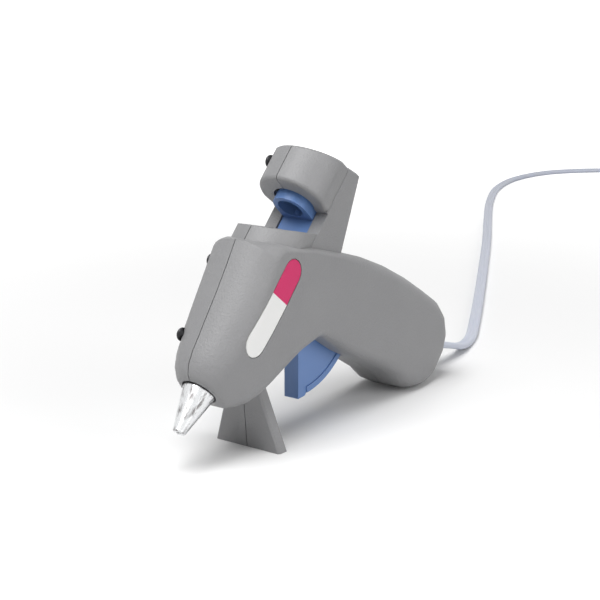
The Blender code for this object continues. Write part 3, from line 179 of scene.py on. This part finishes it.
def effect_group(name, inputs, outputs):
    """An empty shader group with named sockets: (name, socket type, default) in, (name, socket type) out."""
    tree = bpy.data.node_groups.new(name, "ShaderNodeTree")
    for label, kind, value in inputs:
        tree.interface.new_socket(name=label, in_out="INPUT", socket_type=kind).default_value = value
    for label, kind in outputs:
        tree.interface.new_socket(name=label, in_out="OUTPUT", socket_type=kind)
    return tree, tree.nodes.new("NodeGroupInput"), tree.nodes.new("NodeGroupOutput")


# What every moulded skin shares: a pebbled grain that dulls the gloss, and slow drift in its tone.
skin_group, skin_in, skin_out = effect_group(
    "moulded_skin",
    [("Colour", "NodeSocketColor", (0.5, 0.5, 0.5, 1)), ("Worn Colour", "NodeSocketColor", (0.6, 0.6, 0.6, 1)),
     ("Grain Size", "NodeSocketFloat", 1400.0), ("Grain Depth", "NodeSocketFloat", 0.5),
     ("Drift", "NodeSocketFloat", 0.3), ("Gloss", "NodeSocketFloat", 0.4)],
    [("Colour", "NodeSocketColor"), ("Roughness", "NodeSocketFloat"), ("Height", "NodeSocketFloat")])
links = skin_group.links
here = skin_group.nodes.new("ShaderNodeTexCoord")
pebble = skin_group.nodes.new("ShaderNodeTexNoise")
pebble.inputs["Detail"].default_value = 3
pebble.inputs["Roughness"].default_value = 0.6
links.new(here.outputs["Object"], pebble.inputs["Vector"])
links.new(skin_in.outputs["Grain Size"], pebble.inputs["Scale"])
depth = skin_group.nodes.new("ShaderNodeMath")
depth.operation = "MULTIPLY"
links.new(pebble.outputs["Fac"], depth.inputs[0])
links.new(skin_in.outputs["Grain Depth"], depth.inputs[1])
links.new(depth.outputs[0], skin_out.inputs["Height"])
slow = skin_group.nodes.new("ShaderNodeTexNoise")
slow.inputs["Scale"].default_value = 38
slow.inputs["Detail"].default_value = 4
links.new(here.outputs["Object"], slow.inputs["Vector"])
drift = skin_group.nodes.new("ShaderNodeMapRange")
drift.inputs["From Min"].default_value = 0.42
drift.inputs["From Max"].default_value = 0.72
links.new(slow.outputs["Fac"], drift.inputs["Value"])
links.new(skin_in.outputs["Drift"], drift.inputs["To Max"])
tone = skin_group.nodes.new("ShaderNodeMix")
tone.data_type = "RGBA"
links.new(drift.outputs["Result"], tone.inputs["Factor"])
links.new(skin_in.outputs["Colour"], tone.inputs[6])
links.new(skin_in.outputs["Worn Colour"], tone.inputs[7])
links.new(tone.outputs[2], skin_out.inputs["Colour"])
dull = skin_group.nodes.new("ShaderNodeMath")
dull.operation = "MULTIPLY_ADD"
links.new(slow.outputs["Fac"], dull.inputs[0])
dull.inputs[1].default_value = 0.16
links.new(skin_in.outputs["Gloss"], dull.inputs[2])
links.new(dull.outputs[0], skin_out.inputs["Roughness"])


def moulded(name, colour, worn, gloss, grain=1400.0, depth=0.5, drift=0.3, bump=0.00003, metallic=0.0, group=None):
    """A material on the shared moulded skin: colours, gloss and how coarse and deep its grain is."""
    made = bpy.data.materials.new(name)
    made.use_nodes = True
    tree = made.node_tree
    shader = tree.nodes["Principled BSDF"]
    skin = tree.nodes.new("ShaderNodeGroup")
    skin.node_tree = group or skin_group
    skin.inputs["Colour"].default_value = (*colour, 1)
    skin.inputs["Worn Colour"].default_value = (*worn, 1)
    skin.inputs["Grain Size"].default_value = grain
    skin.inputs["Grain Depth"].default_value = depth
    skin.inputs["Drift"].default_value = drift
    skin.inputs["Gloss"].default_value = gloss
    relief = tree.nodes.new("ShaderNodeBump")
    relief.inputs["Distance"].default_value = bump
    shader.inputs["Metallic"].default_value = metallic
    tree.links.new(skin.outputs["Colour"], shader.inputs["Base Color"])
    tree.links.new(skin.outputs["Roughness"], shader.inputs["Roughness"])
    tree.links.new(skin.outputs["Height"], relief.inputs["Height"])
    tree.links.new(relief.outputs["Normal"], shader.inputs["Normal"])
    made.diffuse_color = (*colour, 1)
    return made


cord_vinyl = moulded(
    "cord_vinyl", (0.47, 0.50, 0.59), (0.52, 0.54, 0.60), 0.30, grain=700, depth=0.35, drift=0.5, bump=0.00004)
cord_vinyl.node_tree.nodes["Principled BSDF"].inputs["Subsurface Weight"].default_value = 0.12
cord_vinyl.node_tree.nodes["Principled BSDF"].inputs["Subsurface Radius"].default_value = (0.0012, 0.0012, 0.0016)
cord_mesh.materials.append(cord_vinyl)
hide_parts("cord_run", "cord_coil", "cord_tail")
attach(mains_cord, "gun_body")


# The plug is moulded on the cord's end in the same vinyl, with flexible ribs at its neck and two blades of
# plated brass; the strap that keeps the coil together is a strip of soft black vinyl.
def dressed(node, name, body, material, round_width=0.0003, angle=38, segments=2):
    """A CAD node's own shape with its loose triangles joined, its moulded edges eased and a finish."""
    mesh = nodes[node].data.copy()
    build = bmesh.new()
    build.from_mesh(mesh)
    bmesh.ops.remove_doubles(build, verts=build.verts, dist=0.000002)
    bmesh.ops.dissolve_limit(
        build, angle_limit=math.radians(0.4), verts=build.verts, edges=build.edges, use_dissolve_boundaries=False)
    for face in build.faces:
        face.smooth = True
    build.to_mesh(mesh)
    build.free()
    mesh.materials.clear()
    mesh.materials.append(material)
    mesh.name = name
    piece = bpy.data.objects.new(name, mesh)
    scene.collection.objects.link(piece)
    if round_width:
        ease = piece.modifiers.new("eased_edges", "BEVEL")
        ease.width = round_width
        ease.segments = segments
        ease.limit_method = "ANGLE"
        ease.angle_limit = math.radians(angle)
        ease.use_clamp_overlap = True
        ease.miter_outer = "MITER_ARC"
    even = piece.modifiers.new("even_normals", "WEIGHTED_NORMAL")
    even.keep_sharp = True
    even.weight = 60
    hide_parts(node)
    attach(piece, body)
    return piece


plug_piece = dressed("plug_body", "plug_moulding", "gun_body", cord_vinyl, 0.0008)
blade_plating = moulded(
    "blade_plating", (0.70, 0.66, 0.56), (0.52, 0.47, 0.38), 0.18, grain=2600, depth=0.25, drift=0.6, metallic=1.0)
blades = [
    dressed(f"plug_blade_{side}", f"plug_blade_metal_{side}", "gun_body", blade_plating, 0.0002)
    for side in (1, 2)]
tie_vinyl = moulded("tie_vinyl", (0.03, 0.03, 0.032), (0.06, 0.06, 0.06), 0.45, grain=900, depth=0.5)
tie_piece = dressed("coil_tie", "coil_strap", "gun_body", tie_vinyl, 0.00015)
dressed("cord_inside", "cord_end_inside", "gun_body", cord_vinyl, 0)

# The two housing shells are injection moulded in grey plastic with a fine spark-eroded texture, and meet on a
# thin parting line down the middle, where the foot, the body, the collar and the head are all split.
housing_grey = moulded(
    "housing_grey", (0.232, 0.232, 0.238), (0.262, 0.262, 0.266), 0.40, grain=1250, depth=1.0, drift=0.45,
    bump=0.00022)
for side in ("left", "right"):
    dressed(f"housing_{side}", f"shell_{side}", "gun_body", housing_grey, 0.00035)

# The label is a thin printed film laid in a shallow bed in the left shell: plain magenta above a slanted
# line, and plain off-white below it.
print_line_point = (-0.04375, 0, 0.06117)
print_line_across = (0.6203, 0, 0.7843)
ink_edge = 0.00006
label_film = moulded(
    "label_film", (0.58, 0.004, 0.110), (0.63, 0.006, 0.125), 0.34, grain=2400, depth=0.12, drift=0.3)
label_tree = label_film.node_tree
label_here = label_tree.nodes.new("ShaderNodeTexCoord")
from_line = label_tree.nodes.new("ShaderNodeVectorMath")
from_line.operation = "SUBTRACT"
from_line.inputs[1].default_value = print_line_point
label_tree.links.new(label_here.outputs["Object"], from_line.inputs[0])
above_line = label_tree.nodes.new("ShaderNodeVectorMath")
above_line.operation = "DOT_PRODUCT"
above_line.inputs[1].default_value = print_line_across
label_tree.links.new(from_line.outputs[0], above_line.inputs[0])
print_edge = label_tree.nodes.new("ShaderNodeMapRange")
print_edge.inputs["From Min"].default_value = -ink_edge
print_edge.inputs["From Max"].default_value = ink_edge
label_tree.links.new(above_line.outputs["Value"], print_edge.inputs["Value"])
inks = label_tree.nodes.new("ShaderNodeMix")
inks.data_type = "RGBA"
inks.inputs[6].default_value = (0.80, 0.80, 0.79, 1)
label_tree.links.new(print_edge.outputs["Result"], inks.inputs["Factor"])
label_skin = next(node for node in label_tree.nodes if node.type == "GROUP")
label_tree.links.new(label_skin.outputs["Colour"], inks.inputs[7])
label_tree.links.new(inks.outputs[2], label_tree.nodes["Principled BSDF"].inputs["Base Color"])
dressed("label", "label_plate", "gun_body", label_film, 0.0001)

# The nozzle is turned and polished from light alloy; its colour is streaked dark in long marks that run
# down to the tip. A black resin ring seats it in the shells' nose.
barrel_tip = Vector((-0.0780, 0, 0.0155))
barrel_lean = math.radians(47.4)
barrel_way = Vector((math.cos(barrel_lean), 0, math.sin(barrel_lean)))
barrel_up = Vector((-math.sin(barrel_lean), 0, math.cos(barrel_lean)))
nozzle_alloy = bpy.data.materials.new("nozzle_alloy")
nozzle_alloy.use_nodes = True
nozzle_tree = nozzle_alloy.node_tree
nozzle_shader = nozzle_tree.nodes["Principled BSDF"]
nozzle_shader.inputs["Metallic"].default_value = 1.0
nozzle_here = nozzle_tree.nodes.new("ShaderNodeTexCoord")
along_nozzle = nozzle_tree.nodes.new("ShaderNodeMapping")
along_nozzle.inputs["Location"].default_value = (-barrel_tip.dot(barrel_way), 0, 0)
along_nozzle.inputs["Rotation"].default_value = (0, barrel_lean, 0)
nozzle_tree.links.new(nozzle_here.outputs["Object"], along_nozzle.inputs["Vector"])
turning = nozzle_tree.nodes.new("ShaderNodeTexWave")
turning.wave_type = "BANDS"
turning.bands_direction = "X"
turning.inputs["Scale"].default_value = 900
turning.inputs["Distortion"].default_value = 0.6
nozzle_tree.links.new(along_nozzle.outputs[0], turning.inputs["Vector"])
streaks = nozzle_tree.nodes.new("ShaderNodeMapping")
streaks.inputs["Scale"].default_value = (0.22, 1, 1)
nozzle_tree.links.new(along_nozzle.outputs[0], streaks.inputs["Vector"])
# Long dark streaks in the alloy's colour and roughness, stretched along the nozzle towards its tip.
streak_noise = nozzle_tree.nodes.new("ShaderNodeTexNoise")
streak_noise.inputs["Scale"].default_value = 520
streak_noise.inputs["Detail"].default_value = 5
streak_noise.inputs["Roughness"].default_value = 0.62
nozzle_tree.links.new(streaks.outputs[0], streak_noise.inputs["Vector"])
streak_share = nozzle_tree.nodes.new("ShaderNodeMapRange")
streak_share.inputs["From Min"].default_value = 0.50
streak_share.inputs["From Max"].default_value = 0.66
nozzle_tree.links.new(streak_noise.outputs["Fac"], streak_share.inputs["Value"])
metal_tone = nozzle_tree.nodes.new("ShaderNodeMix")
metal_tone.data_type = "RGBA"
metal_tone.inputs[6].default_value = (0.78, 0.79, 0.80, 1)
metal_tone.inputs[7].default_value = (0.20, 0.19, 0.19, 1)
nozzle_tree.links.new(streak_share.outputs["Result"], metal_tone.inputs["Factor"])
nozzle_tree.links.new(metal_tone.outputs[2], nozzle_shader.inputs["Base Color"])
metal_dull = nozzle_tree.nodes.new("ShaderNodeMapRange")
metal_dull.inputs["To Min"].default_value = 0.16
metal_dull.inputs["To Max"].default_value = 0.42
nozzle_tree.links.new(streak_noise.outputs["Fac"], metal_dull.inputs["Value"])
nozzle_tree.links.new(metal_dull.outputs["Result"], nozzle_shader.inputs["Roughness"])
metal_relief = nozzle_tree.nodes.new("ShaderNodeBump")
metal_relief.inputs["Distance"].default_value = 0.00002
nozzle_tree.links.new(turning.outputs["Fac"], metal_relief.inputs["Height"])
nozzle_tree.links.new(metal_relief.outputs["Normal"], nozzle_shader.inputs["Normal"])
dressed("nozzle", "nozzle_turned", "gun_body", nozzle_alloy, 0.0002)
collar_black = moulded("collar_black", (0.018, 0.018, 0.02), (0.05, 0.05, 0.05), 0.45, grain=900, depth=0.6)
dressed("nose_collar", "nose_ring", "gun_body", collar_black, 0.0002)

# The blue feeder carries the gripping ring round the stick, and the blue trigger drives it; both are
# glossier than the housing, and their moulded corners are soft where a finger rests.
feed_blue = moulded(
    "feed_blue", (0.118, 0.222, 0.480), (0.135, 0.245, 0.50), 0.30, grain=900, depth=0.3, drift=0.4, bump=0.00003)
dressed("feeder", "feeder_moulding", "feeder", feed_blue, 0.0003)
dressed("trigger", "trigger_moulding", "trigger", feed_blue, 0.0009, 50, 3)

# The screws that close the shells are black pan heads with a cross recess, driven from the right-hand side.
# One screw is modelled and set at each place by a node tree.
screw_names = [f"housing_screw_{index}" for index in range(1, 7)]
screw_sides = 28
screw_head_high = 0.0014
cross_long = 0.0028
cross_wide = 0.0006
most_screw_turn = 1.3
screw_build = bmesh.new()
screw_profile = [
    (0.0, -0.0190), (0.0011, -0.0180), (0.0014, -0.0170), (0.0014, 0.0), (0.0025, 0.0), (0.0025, 0.0007),
    (0.0023, 0.0011), (0.0016, 0.00138), (0.0, screw_head_high)]
rounds = []
for radius, along in screw_profile:
    if radius == 0:
        rounds.append([screw_build.verts.new((0, along, 0))] * screw_sides)
        continue
    spokes = [math.tau * turn / screw_sides for turn in range(screw_sides)]
    rounds.append([
        screw_build.verts.new((radius * math.cos(spoke), along, radius * math.sin(spoke))) for spoke in spokes])
for low, high in zip(rounds, rounds[1:]):
    for turn in range(screw_sides):
        after = (turn + 1) % screw_sides
        corners = list(dict.fromkeys((low[turn], low[after], high[after], high[turn])))
        screw_build.faces.new(corners).smooth = True
bmesh.ops.recalc_face_normals(screw_build, faces=screw_build.faces)
screw_mesh = bpy.data.meshes.new("screw_blank")
screw_build.to_mesh(screw_mesh)
screw_build.free()
screw_blank = bpy.data.objects.new("screw_blank", screw_mesh)
scene.collection.objects.link(screw_blank)
recess_build = bmesh.new()
for wide, deep in ((cross_long, cross_wide), (cross_wide, cross_long)):
    bmesh.ops.create_cube(
        recess_build, size=1,
        matrix=Matrix.Translation((0, screw_head_high, 0)) @ Matrix.Diagonal((wide, screw_head_high, deep, 1)))
recess_mesh = bpy.data.meshes.new("screw_recess")
recess_build.to_mesh(recess_mesh)
recess_build.free()
screw_recess = bpy.data.objects.new("screw_recess", recess_mesh)
scene.collection.objects.link(screw_recess)
driven = screw_blank.modifiers.new("recess", "BOOLEAN")
driven.object = screw_recess
driven.use_self = True
depsgraph = bpy.context.evaluated_depsgraph_get()
screw_made = bpy.data.meshes.new_from_object(screw_blank.evaluated_get(depsgraph))
screw_shape = bpy.data.objects.new("screw_shape", screw_made)
scene.collection.objects.link(screw_shape)
place_build = bmesh.new()
for node_name in screw_names:
    low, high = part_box(node_name)
    place_build.verts.new(((low[0] + high[0]) / 2, high[1] - screw_head_high, (low[2] + high[2]) / 2))
place_mesh = bpy.data.meshes.new("screw_places")
place_build.to_mesh(place_mesh)
place_build.free()
screws = bpy.data.objects.new("housing_screws", place_mesh)
scene.collection.objects.link(screws)
screw_black = moulded(
    "screw_black", (0.035, 0.035, 0.038), (0.16, 0.16, 0.165), 0.24, grain=1800, depth=0.4, drift=0.8, metallic=0.85)
screw_tree = bpy.data.node_groups.new("set_screws", "GeometryNodeTree")
screw_tree.interface.new_socket(name="Places", in_out="INPUT", socket_type="NodeSocketGeometry")
screw_socket = screw_tree.interface.new_socket(name="Screw", in_out="INPUT", socket_type="NodeSocketObject")
turn_socket = screw_tree.interface.new_socket(name="Turn", in_out="INPUT", socket_type="NodeSocketFloat")
turn_socket.default_value = most_screw_turn
screw_tree.interface.new_socket(name="Screws", in_out="OUTPUT", socket_type="NodeSocketGeometry")
tree_in, tree_out = screw_tree.nodes.new("NodeGroupInput"), screw_tree.nodes.new("NodeGroupOutput")
screw_info = screw_tree.nodes.new("GeometryNodeObjectInfo")
screw_turn = screw_tree.nodes.new("FunctionNodeRandomValue")
screw_turn.data_type = "FLOAT"
screw_turn.inputs["Seed"].default_value = 7
turn_vector = screw_tree.nodes.new("ShaderNodeCombineXYZ")
set_screw = screw_tree.nodes.new("GeometryNodeInstanceOnPoints")
made_real = screw_tree.nodes.new("GeometryNodeRealizeInstances")
screw_finish = screw_tree.nodes.new("GeometryNodeSetMaterial")
screw_finish.inputs["Material"].default_value = screw_black
for source, target in (
    (tree_in.outputs["Places"], set_screw.inputs["Points"]), (tree_in.outputs["Screw"], screw_info.inputs["Object"]),
    (screw_info.outputs["Geometry"], set_screw.inputs["Instance"]), (tree_in.outputs["Turn"], screw_turn.inputs[3]),
    (screw_turn.outputs[1], turn_vector.inputs["Y"]), (turn_vector.outputs[0], set_screw.inputs["Rotation"]),
    (set_screw.outputs[0], made_real.inputs[0]), (made_real.outputs[0], screw_finish.inputs[0]),
    (screw_finish.outputs[0], tree_out.inputs[0]),
):
    screw_tree.links.new(source, target)
setting = screws.modifiers.new("set_screws", "NODES")
setting.node_group = screw_tree
setting[screw_socket.identifier] = screw_shape
setting[turn_socket.identifier] = most_screw_turn
depsgraph = bpy.context.evaluated_depsgraph_get()
screws_made = bpy.data.meshes.new_from_object(screws.evaluated_get(depsgraph))
screws.modifiers.remove(setting)
screws.data = screws_made
for scrap in (screw_blank, screw_recess, screw_shape):
    bpy.data.objects.remove(scrap)
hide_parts(*screw_names)
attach(screws, "gun_body")

# The return spring is wound from bright drawn wire between the shelf in the shells and the feeder's lug;
# the real one closes up as the feeder moves forward, but this one is built at one length and stays on the body.
spring_along = 0.05785
spring_below = 0.0126
spring_way, spring_up = barrel_way, barrel_up
spring_start = barrel_tip + spring_way * spring_along - spring_up * spring_below
spring_shape = (("Coil Radius", 0.0013), ("Wire", 0.00028), ("Length", 0.01215), ("Curls", 7.5))
spring_tree = bpy.data.node_groups.new("wind_spring", "GeometryNodeTree")
spring_sizes = {}
for label, value in spring_shape:
    spring_sizes[label] = spring_tree.interface.new_socket(
        name=label, in_out="INPUT", socket_type="NodeSocketFloat")
    spring_sizes[label].default_value = value
spring_tree.interface.new_socket(name="Spring", in_out="OUTPUT", socket_type="NodeSocketGeometry")
tree_in, tree_out = spring_tree.nodes.new("NodeGroupInput"), spring_tree.nodes.new("NodeGroupOutput")
helix = spring_tree.nodes.new("GeometryNodeCurveSpiral")
helix.inputs["Resolution"].default_value = 24
wire_round = spring_tree.nodes.new("GeometryNodeCurvePrimitiveCircle")
wire_round.inputs["Resolution"].default_value = 10
wound = spring_tree.nodes.new("GeometryNodeCurveToMesh")
wound.inputs["Fill Caps"].default_value = True
spring_real = spring_tree.nodes.new("GeometryNodeRealizeInstances")
spring_finish = spring_tree.nodes.new("GeometryNodeSetMaterial")
spring_steel = moulded(
    "spring_steel", (0.56, 0.56, 0.57), (0.38, 0.37, 0.36), 0.20, grain=2200, depth=0.3, drift=0.5, metallic=1.0)
spring_finish.inputs["Material"].default_value = spring_steel
for source, target in (
    (tree_in.outputs["Coil Radius"], helix.inputs["Start Radius"]),
    (tree_in.outputs["Coil Radius"], helix.inputs["End Radius"]), (tree_in.outputs["Length"], helix.inputs["Height"]),
    (tree_in.outputs["Curls"], helix.inputs["Rotations"]), (tree_in.outputs["Wire"], wire_round.inputs["Radius"]),
    (helix.outputs["Curve"], wound.inputs["Curve"]), (wire_round.outputs["Curve"], wound.inputs["Profile Curve"]),
    (wound.outputs["Mesh"], spring_real.inputs[0]), (spring_real.outputs[0], spring_finish.inputs[0]),
    (spring_finish.outputs[0], tree_out.inputs[0]),
):
    spring_tree.links.new(source, target)
spring = bpy.data.objects.new("return_spring_wire", bpy.data.meshes.new("return_spring_wire"))
scene.collection.objects.link(spring)
winding = spring.modifiers.new("wind_spring", "NODES")
winding.node_group = spring_tree
for label, value in spring_shape:
    winding[spring_sizes[label].identifier] = value
depsgraph = bpy.context.evaluated_depsgraph_get()
spring_made = bpy.data.meshes.new_from_object(spring.evaluated_get(depsgraph))
spring.modifiers.remove(winding)
spring.data = spring_made
spring_set = Matrix((spring_up, Vector((0, -1, 0)), spring_way)).transposed().to_4x4()
spring_made.transform(Matrix.Translation(spring_start) @ spring_set)
for face in spring_made.polygons:
    face.use_smooth = True
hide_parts("return_spring")
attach(spring, "gun_body")
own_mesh(spring)

# The heated end is a cast alloy barrel with the film-wrapped ceramic heater strapped under it, and a red
# silicone sleeve clamped on its spigot keeps the melt from running back.
barrel_cast = moulded(
    "barrel_cast", (0.50, 0.50, 0.51), (0.34, 0.32, 0.29), 0.34, grain=1200, depth=0.9, drift=0.7, metallic=1.0)
dressed("melt_barrel", "melt_barrel_casting", "gun_body", barrel_cast, 0.0002)
heater_wrap = moulded("heater_wrap", (0.62, 0.42, 0.12), (0.50, 0.32, 0.10), 0.22, grain=500, depth=0.8, drift=0.6)
dressed("heater", "heater_pad", "gun_body", heater_wrap, 0.0003)
dressed("heater_clip", "heater_strap", "gun_body", spring_steel, 0.0001)
sleeve_silicone = moulded("sleeve_silicone", (0.50, 0.10, 0.06), (0.58, 0.16, 0.10), 0.50, grain=700, depth=0.5)
dressed("stick_sleeve", "stick_sleeve_moulding", "gun_body", sleeve_silicone, 0.0002)
dressed("sleeve_clamp", "sleeve_clamp_strip", "gun_body", spring_steel, 0.0001)

# The pins are plain drawn steel: one carries the trigger between the shells, and the other crosses the
# feeder, where the trigger drives it.
dressed("trigger_pin", "trigger_pivot_pin", "gun_body", spring_steel, 0.0002)
dressed("feeder_pin", "feeder_cross_pin", "feeder", spring_steel, 0.0001)

# The heater's leads run back through the handle in woven glass sleeving, to nylon-covered crimps on the cord.
weave_group, weave_in, weave_out = effect_group(
    "woven_sleeving",
    [("Colour", "NodeSocketColor", (0.7, 0.7, 0.6, 1)), ("Worn Colour", "NodeSocketColor", (0.5, 0.5, 0.45, 1)),
     ("Grain Size", "NodeSocketFloat", 1600.0), ("Grain Depth", "NodeSocketFloat", 0.8),
     ("Drift", "NodeSocketFloat", 0.5), ("Gloss", "NodeSocketFloat", 0.7)],
    [("Colour", "NodeSocketColor"), ("Roughness", "NodeSocketFloat"), ("Height", "NodeSocketFloat")])
weave_links = weave_group.links
weave_here = weave_group.nodes.new("ShaderNodeTexCoord")
strands = []
for lean in (35, -35):
    turned = weave_group.nodes.new("ShaderNodeMapping")
    turned.inputs["Rotation"].default_value = (math.radians(lean), math.radians(lean), 0)
    weave_links.new(weave_here.outputs["Object"], turned.inputs["Vector"])
    strand = weave_group.nodes.new("ShaderNodeTexWave")
    weave_links.new(weave_in.outputs["Grain Size"], strand.inputs["Scale"])
    weave_links.new(turned.outputs[0], strand.inputs["Vector"])
    strands.append(strand)
crossed = weave_group.nodes.new("ShaderNodeMath")
crossed.operation = "MAXIMUM"
weave_links.new(strands[0].outputs["Fac"], crossed.inputs[0])
weave_links.new(strands[1].outputs["Fac"], crossed.inputs[1])
weave_depth = weave_group.nodes.new("ShaderNodeMath")
weave_depth.operation = "MULTIPLY"
weave_links.new(crossed.outputs[0], weave_depth.inputs[0])
weave_links.new(weave_in.outputs["Grain Depth"], weave_depth.inputs[1])
weave_links.new(weave_depth.outputs[0], weave_out.inputs["Height"])
weave_drift = weave_group.nodes.new("ShaderNodeMath")
weave_drift.operation = "MULTIPLY"
weave_links.new(crossed.outputs[0], weave_drift.inputs[0])
weave_links.new(weave_in.outputs["Drift"], weave_drift.inputs[1])
weave_tone = weave_group.nodes.new("ShaderNodeMix")
weave_tone.data_type = "RGBA"
weave_links.new(weave_drift.outputs[0], weave_tone.inputs["Factor"])
weave_links.new(weave_in.outputs["Worn Colour"], weave_tone.inputs[6])
weave_links.new(weave_in.outputs["Colour"], weave_tone.inputs[7])
weave_links.new(weave_tone.outputs[2], weave_out.inputs["Colour"])
weave_dull = weave_group.nodes.new("ShaderNodeMath")
weave_dull.operation = "MULTIPLY_ADD"
weave_dull.inputs[1].default_value = 0.1
weave_links.new(crossed.outputs[0], weave_dull.inputs[0])
weave_links.new(weave_in.outputs["Gloss"], weave_dull.inputs[2])
weave_links.new(weave_dull.outputs[0], weave_out.inputs["Roughness"])
lead_sleeving = moulded(
    "lead_sleeving", (0.72, 0.70, 0.64), (0.45, 0.43, 0.38), 0.7, grain=900, depth=0.8, drift=0.9, group=weave_group)
crimp_nylon = moulded("crimp_nylon", (0.62, 0.62, 0.60), (0.54, 0.53, 0.50), 0.40, grain=1000, depth=0.4)
for side in (1, 2):
    dressed(f"heater_lead_{side}", f"heater_lead_wire_{side}", "gun_body", lead_sleeving, 0)
    dressed(f"lead_crimp_{side}", f"lead_crimp_cover_{side}", "gun_body", crimp_nylon, 0.0002)

# The gun stands on a plain white sweep under soft studio light.
sweep_half = 14
sweep_height = -0.00005
sweep_mesh = bpy.data.meshes.new("table_sweep")
sweep_mesh.from_pydata(
    [(x * sweep_half, y * sweep_half, sweep_height) for x, y in ((-1, -1), (1, -1), (1, 1), (-1, 1))], [],
    [(0, 1, 2, 3)])
sweep = bpy.data.objects.new("table_sweep", sweep_mesh)
scene.collection.objects.link(sweep)
sweep_white = bpy.data.materials.new("sweep_white")
sweep_white.use_nodes = True
sweep_tree = sweep_white.node_tree
sweep_shader = sweep_tree.nodes["Principled BSDF"]
sweep_shader.inputs["Base Color"].default_value = (0.86, 0.86, 0.86, 1)
sweep_shader.inputs["Roughness"].default_value = 0.9
sweep_shader.inputs["Specular IOR Level"].default_value = 0.1
seen = sweep_tree.nodes.new("ShaderNodeLightPath")
sweep_here = sweep_tree.nodes.new("ShaderNodeTexCoord")
reach = sweep_tree.nodes.new("ShaderNodeVectorMath")
reach.operation = "LENGTH"
sweep_tree.links.new(sweep_here.outputs["Object"], reach.inputs[0])
fade = sweep_tree.nodes.new("ShaderNodeMapRange")
fade.interpolation_type = "SMOOTHSTEP"
fade.inputs["From Min"].default_value = 0.12
fade.inputs["From Max"].default_value = 0.95
fade.inputs["To Min"].default_value = 0.02
fade.inputs["To Max"].default_value = 0.95
sweep_tree.links.new(reach.outputs["Value"], fade.inputs["Value"])
glow = sweep_tree.nodes.new("ShaderNodeMath")
glow.operation = "MULTIPLY"
sweep_tree.links.new(seen.outputs["Is Camera Ray"], glow.inputs[0])
sweep_tree.links.new(fade.outputs["Result"], glow.inputs[1])
sweep_shader.inputs["Emission Color"].default_value = (1, 1, 1, 1)
sweep_tree.links.new(glow.outputs[0], sweep_shader.inputs["Emission Strength"])
sweep_mesh.materials.append(sweep_white)

world = bpy.data.worlds.new("studio")
scene.world = world
world.use_nodes = True
world_tree = world.node_tree
backdrop = world_tree.nodes["Background"]
backdrop.inputs["Color"].default_value = (1, 1, 1, 1)
world_path = world_tree.nodes.new("ShaderNodeLightPath")
direct = world_tree.nodes.new("ShaderNodeMath")
direct.operation = "MAXIMUM"
world_tree.links.new(world_path.outputs["Is Camera Ray"], direct.inputs[0])
world_tree.links.new(world_path.outputs["Is Glossy Ray"], direct.inputs[1])
level_of_light = world_tree.nodes.new("ShaderNodeMapRange")
level_of_light.inputs["To Min"].default_value = 0.24
level_of_light.inputs["To Max"].default_value = 1.0
world_tree.links.new(direct.outputs[0], level_of_light.inputs["Value"])
world_tree.links.new(level_of_light.outputs["Result"], backdrop.inputs["Strength"])

lit_middle = Vector((0, 0, 0.05))
for lamp_name, place, watts, size in (
    ("overhead_softbox", (-0.55, -0.05, 1.15), 17, 0.8),
    ("side_softbox", (0.25, -1.45, 0.70), 7.5, 1.0),
):
    lamp_data = bpy.data.lights.new(lamp_name, "AREA")
    lamp_data.energy = watts
    lamp_data.size = size
    lamp = bpy.data.objects.new(lamp_name, lamp_data)
    scene.collection.objects.link(lamp)
    lamp.location = place
    lamp.rotation_mode = "QUATERNION"
    lamp.rotation_quaternion = (lit_middle - Vector(place)).to_track_quat("-Z", "Y")
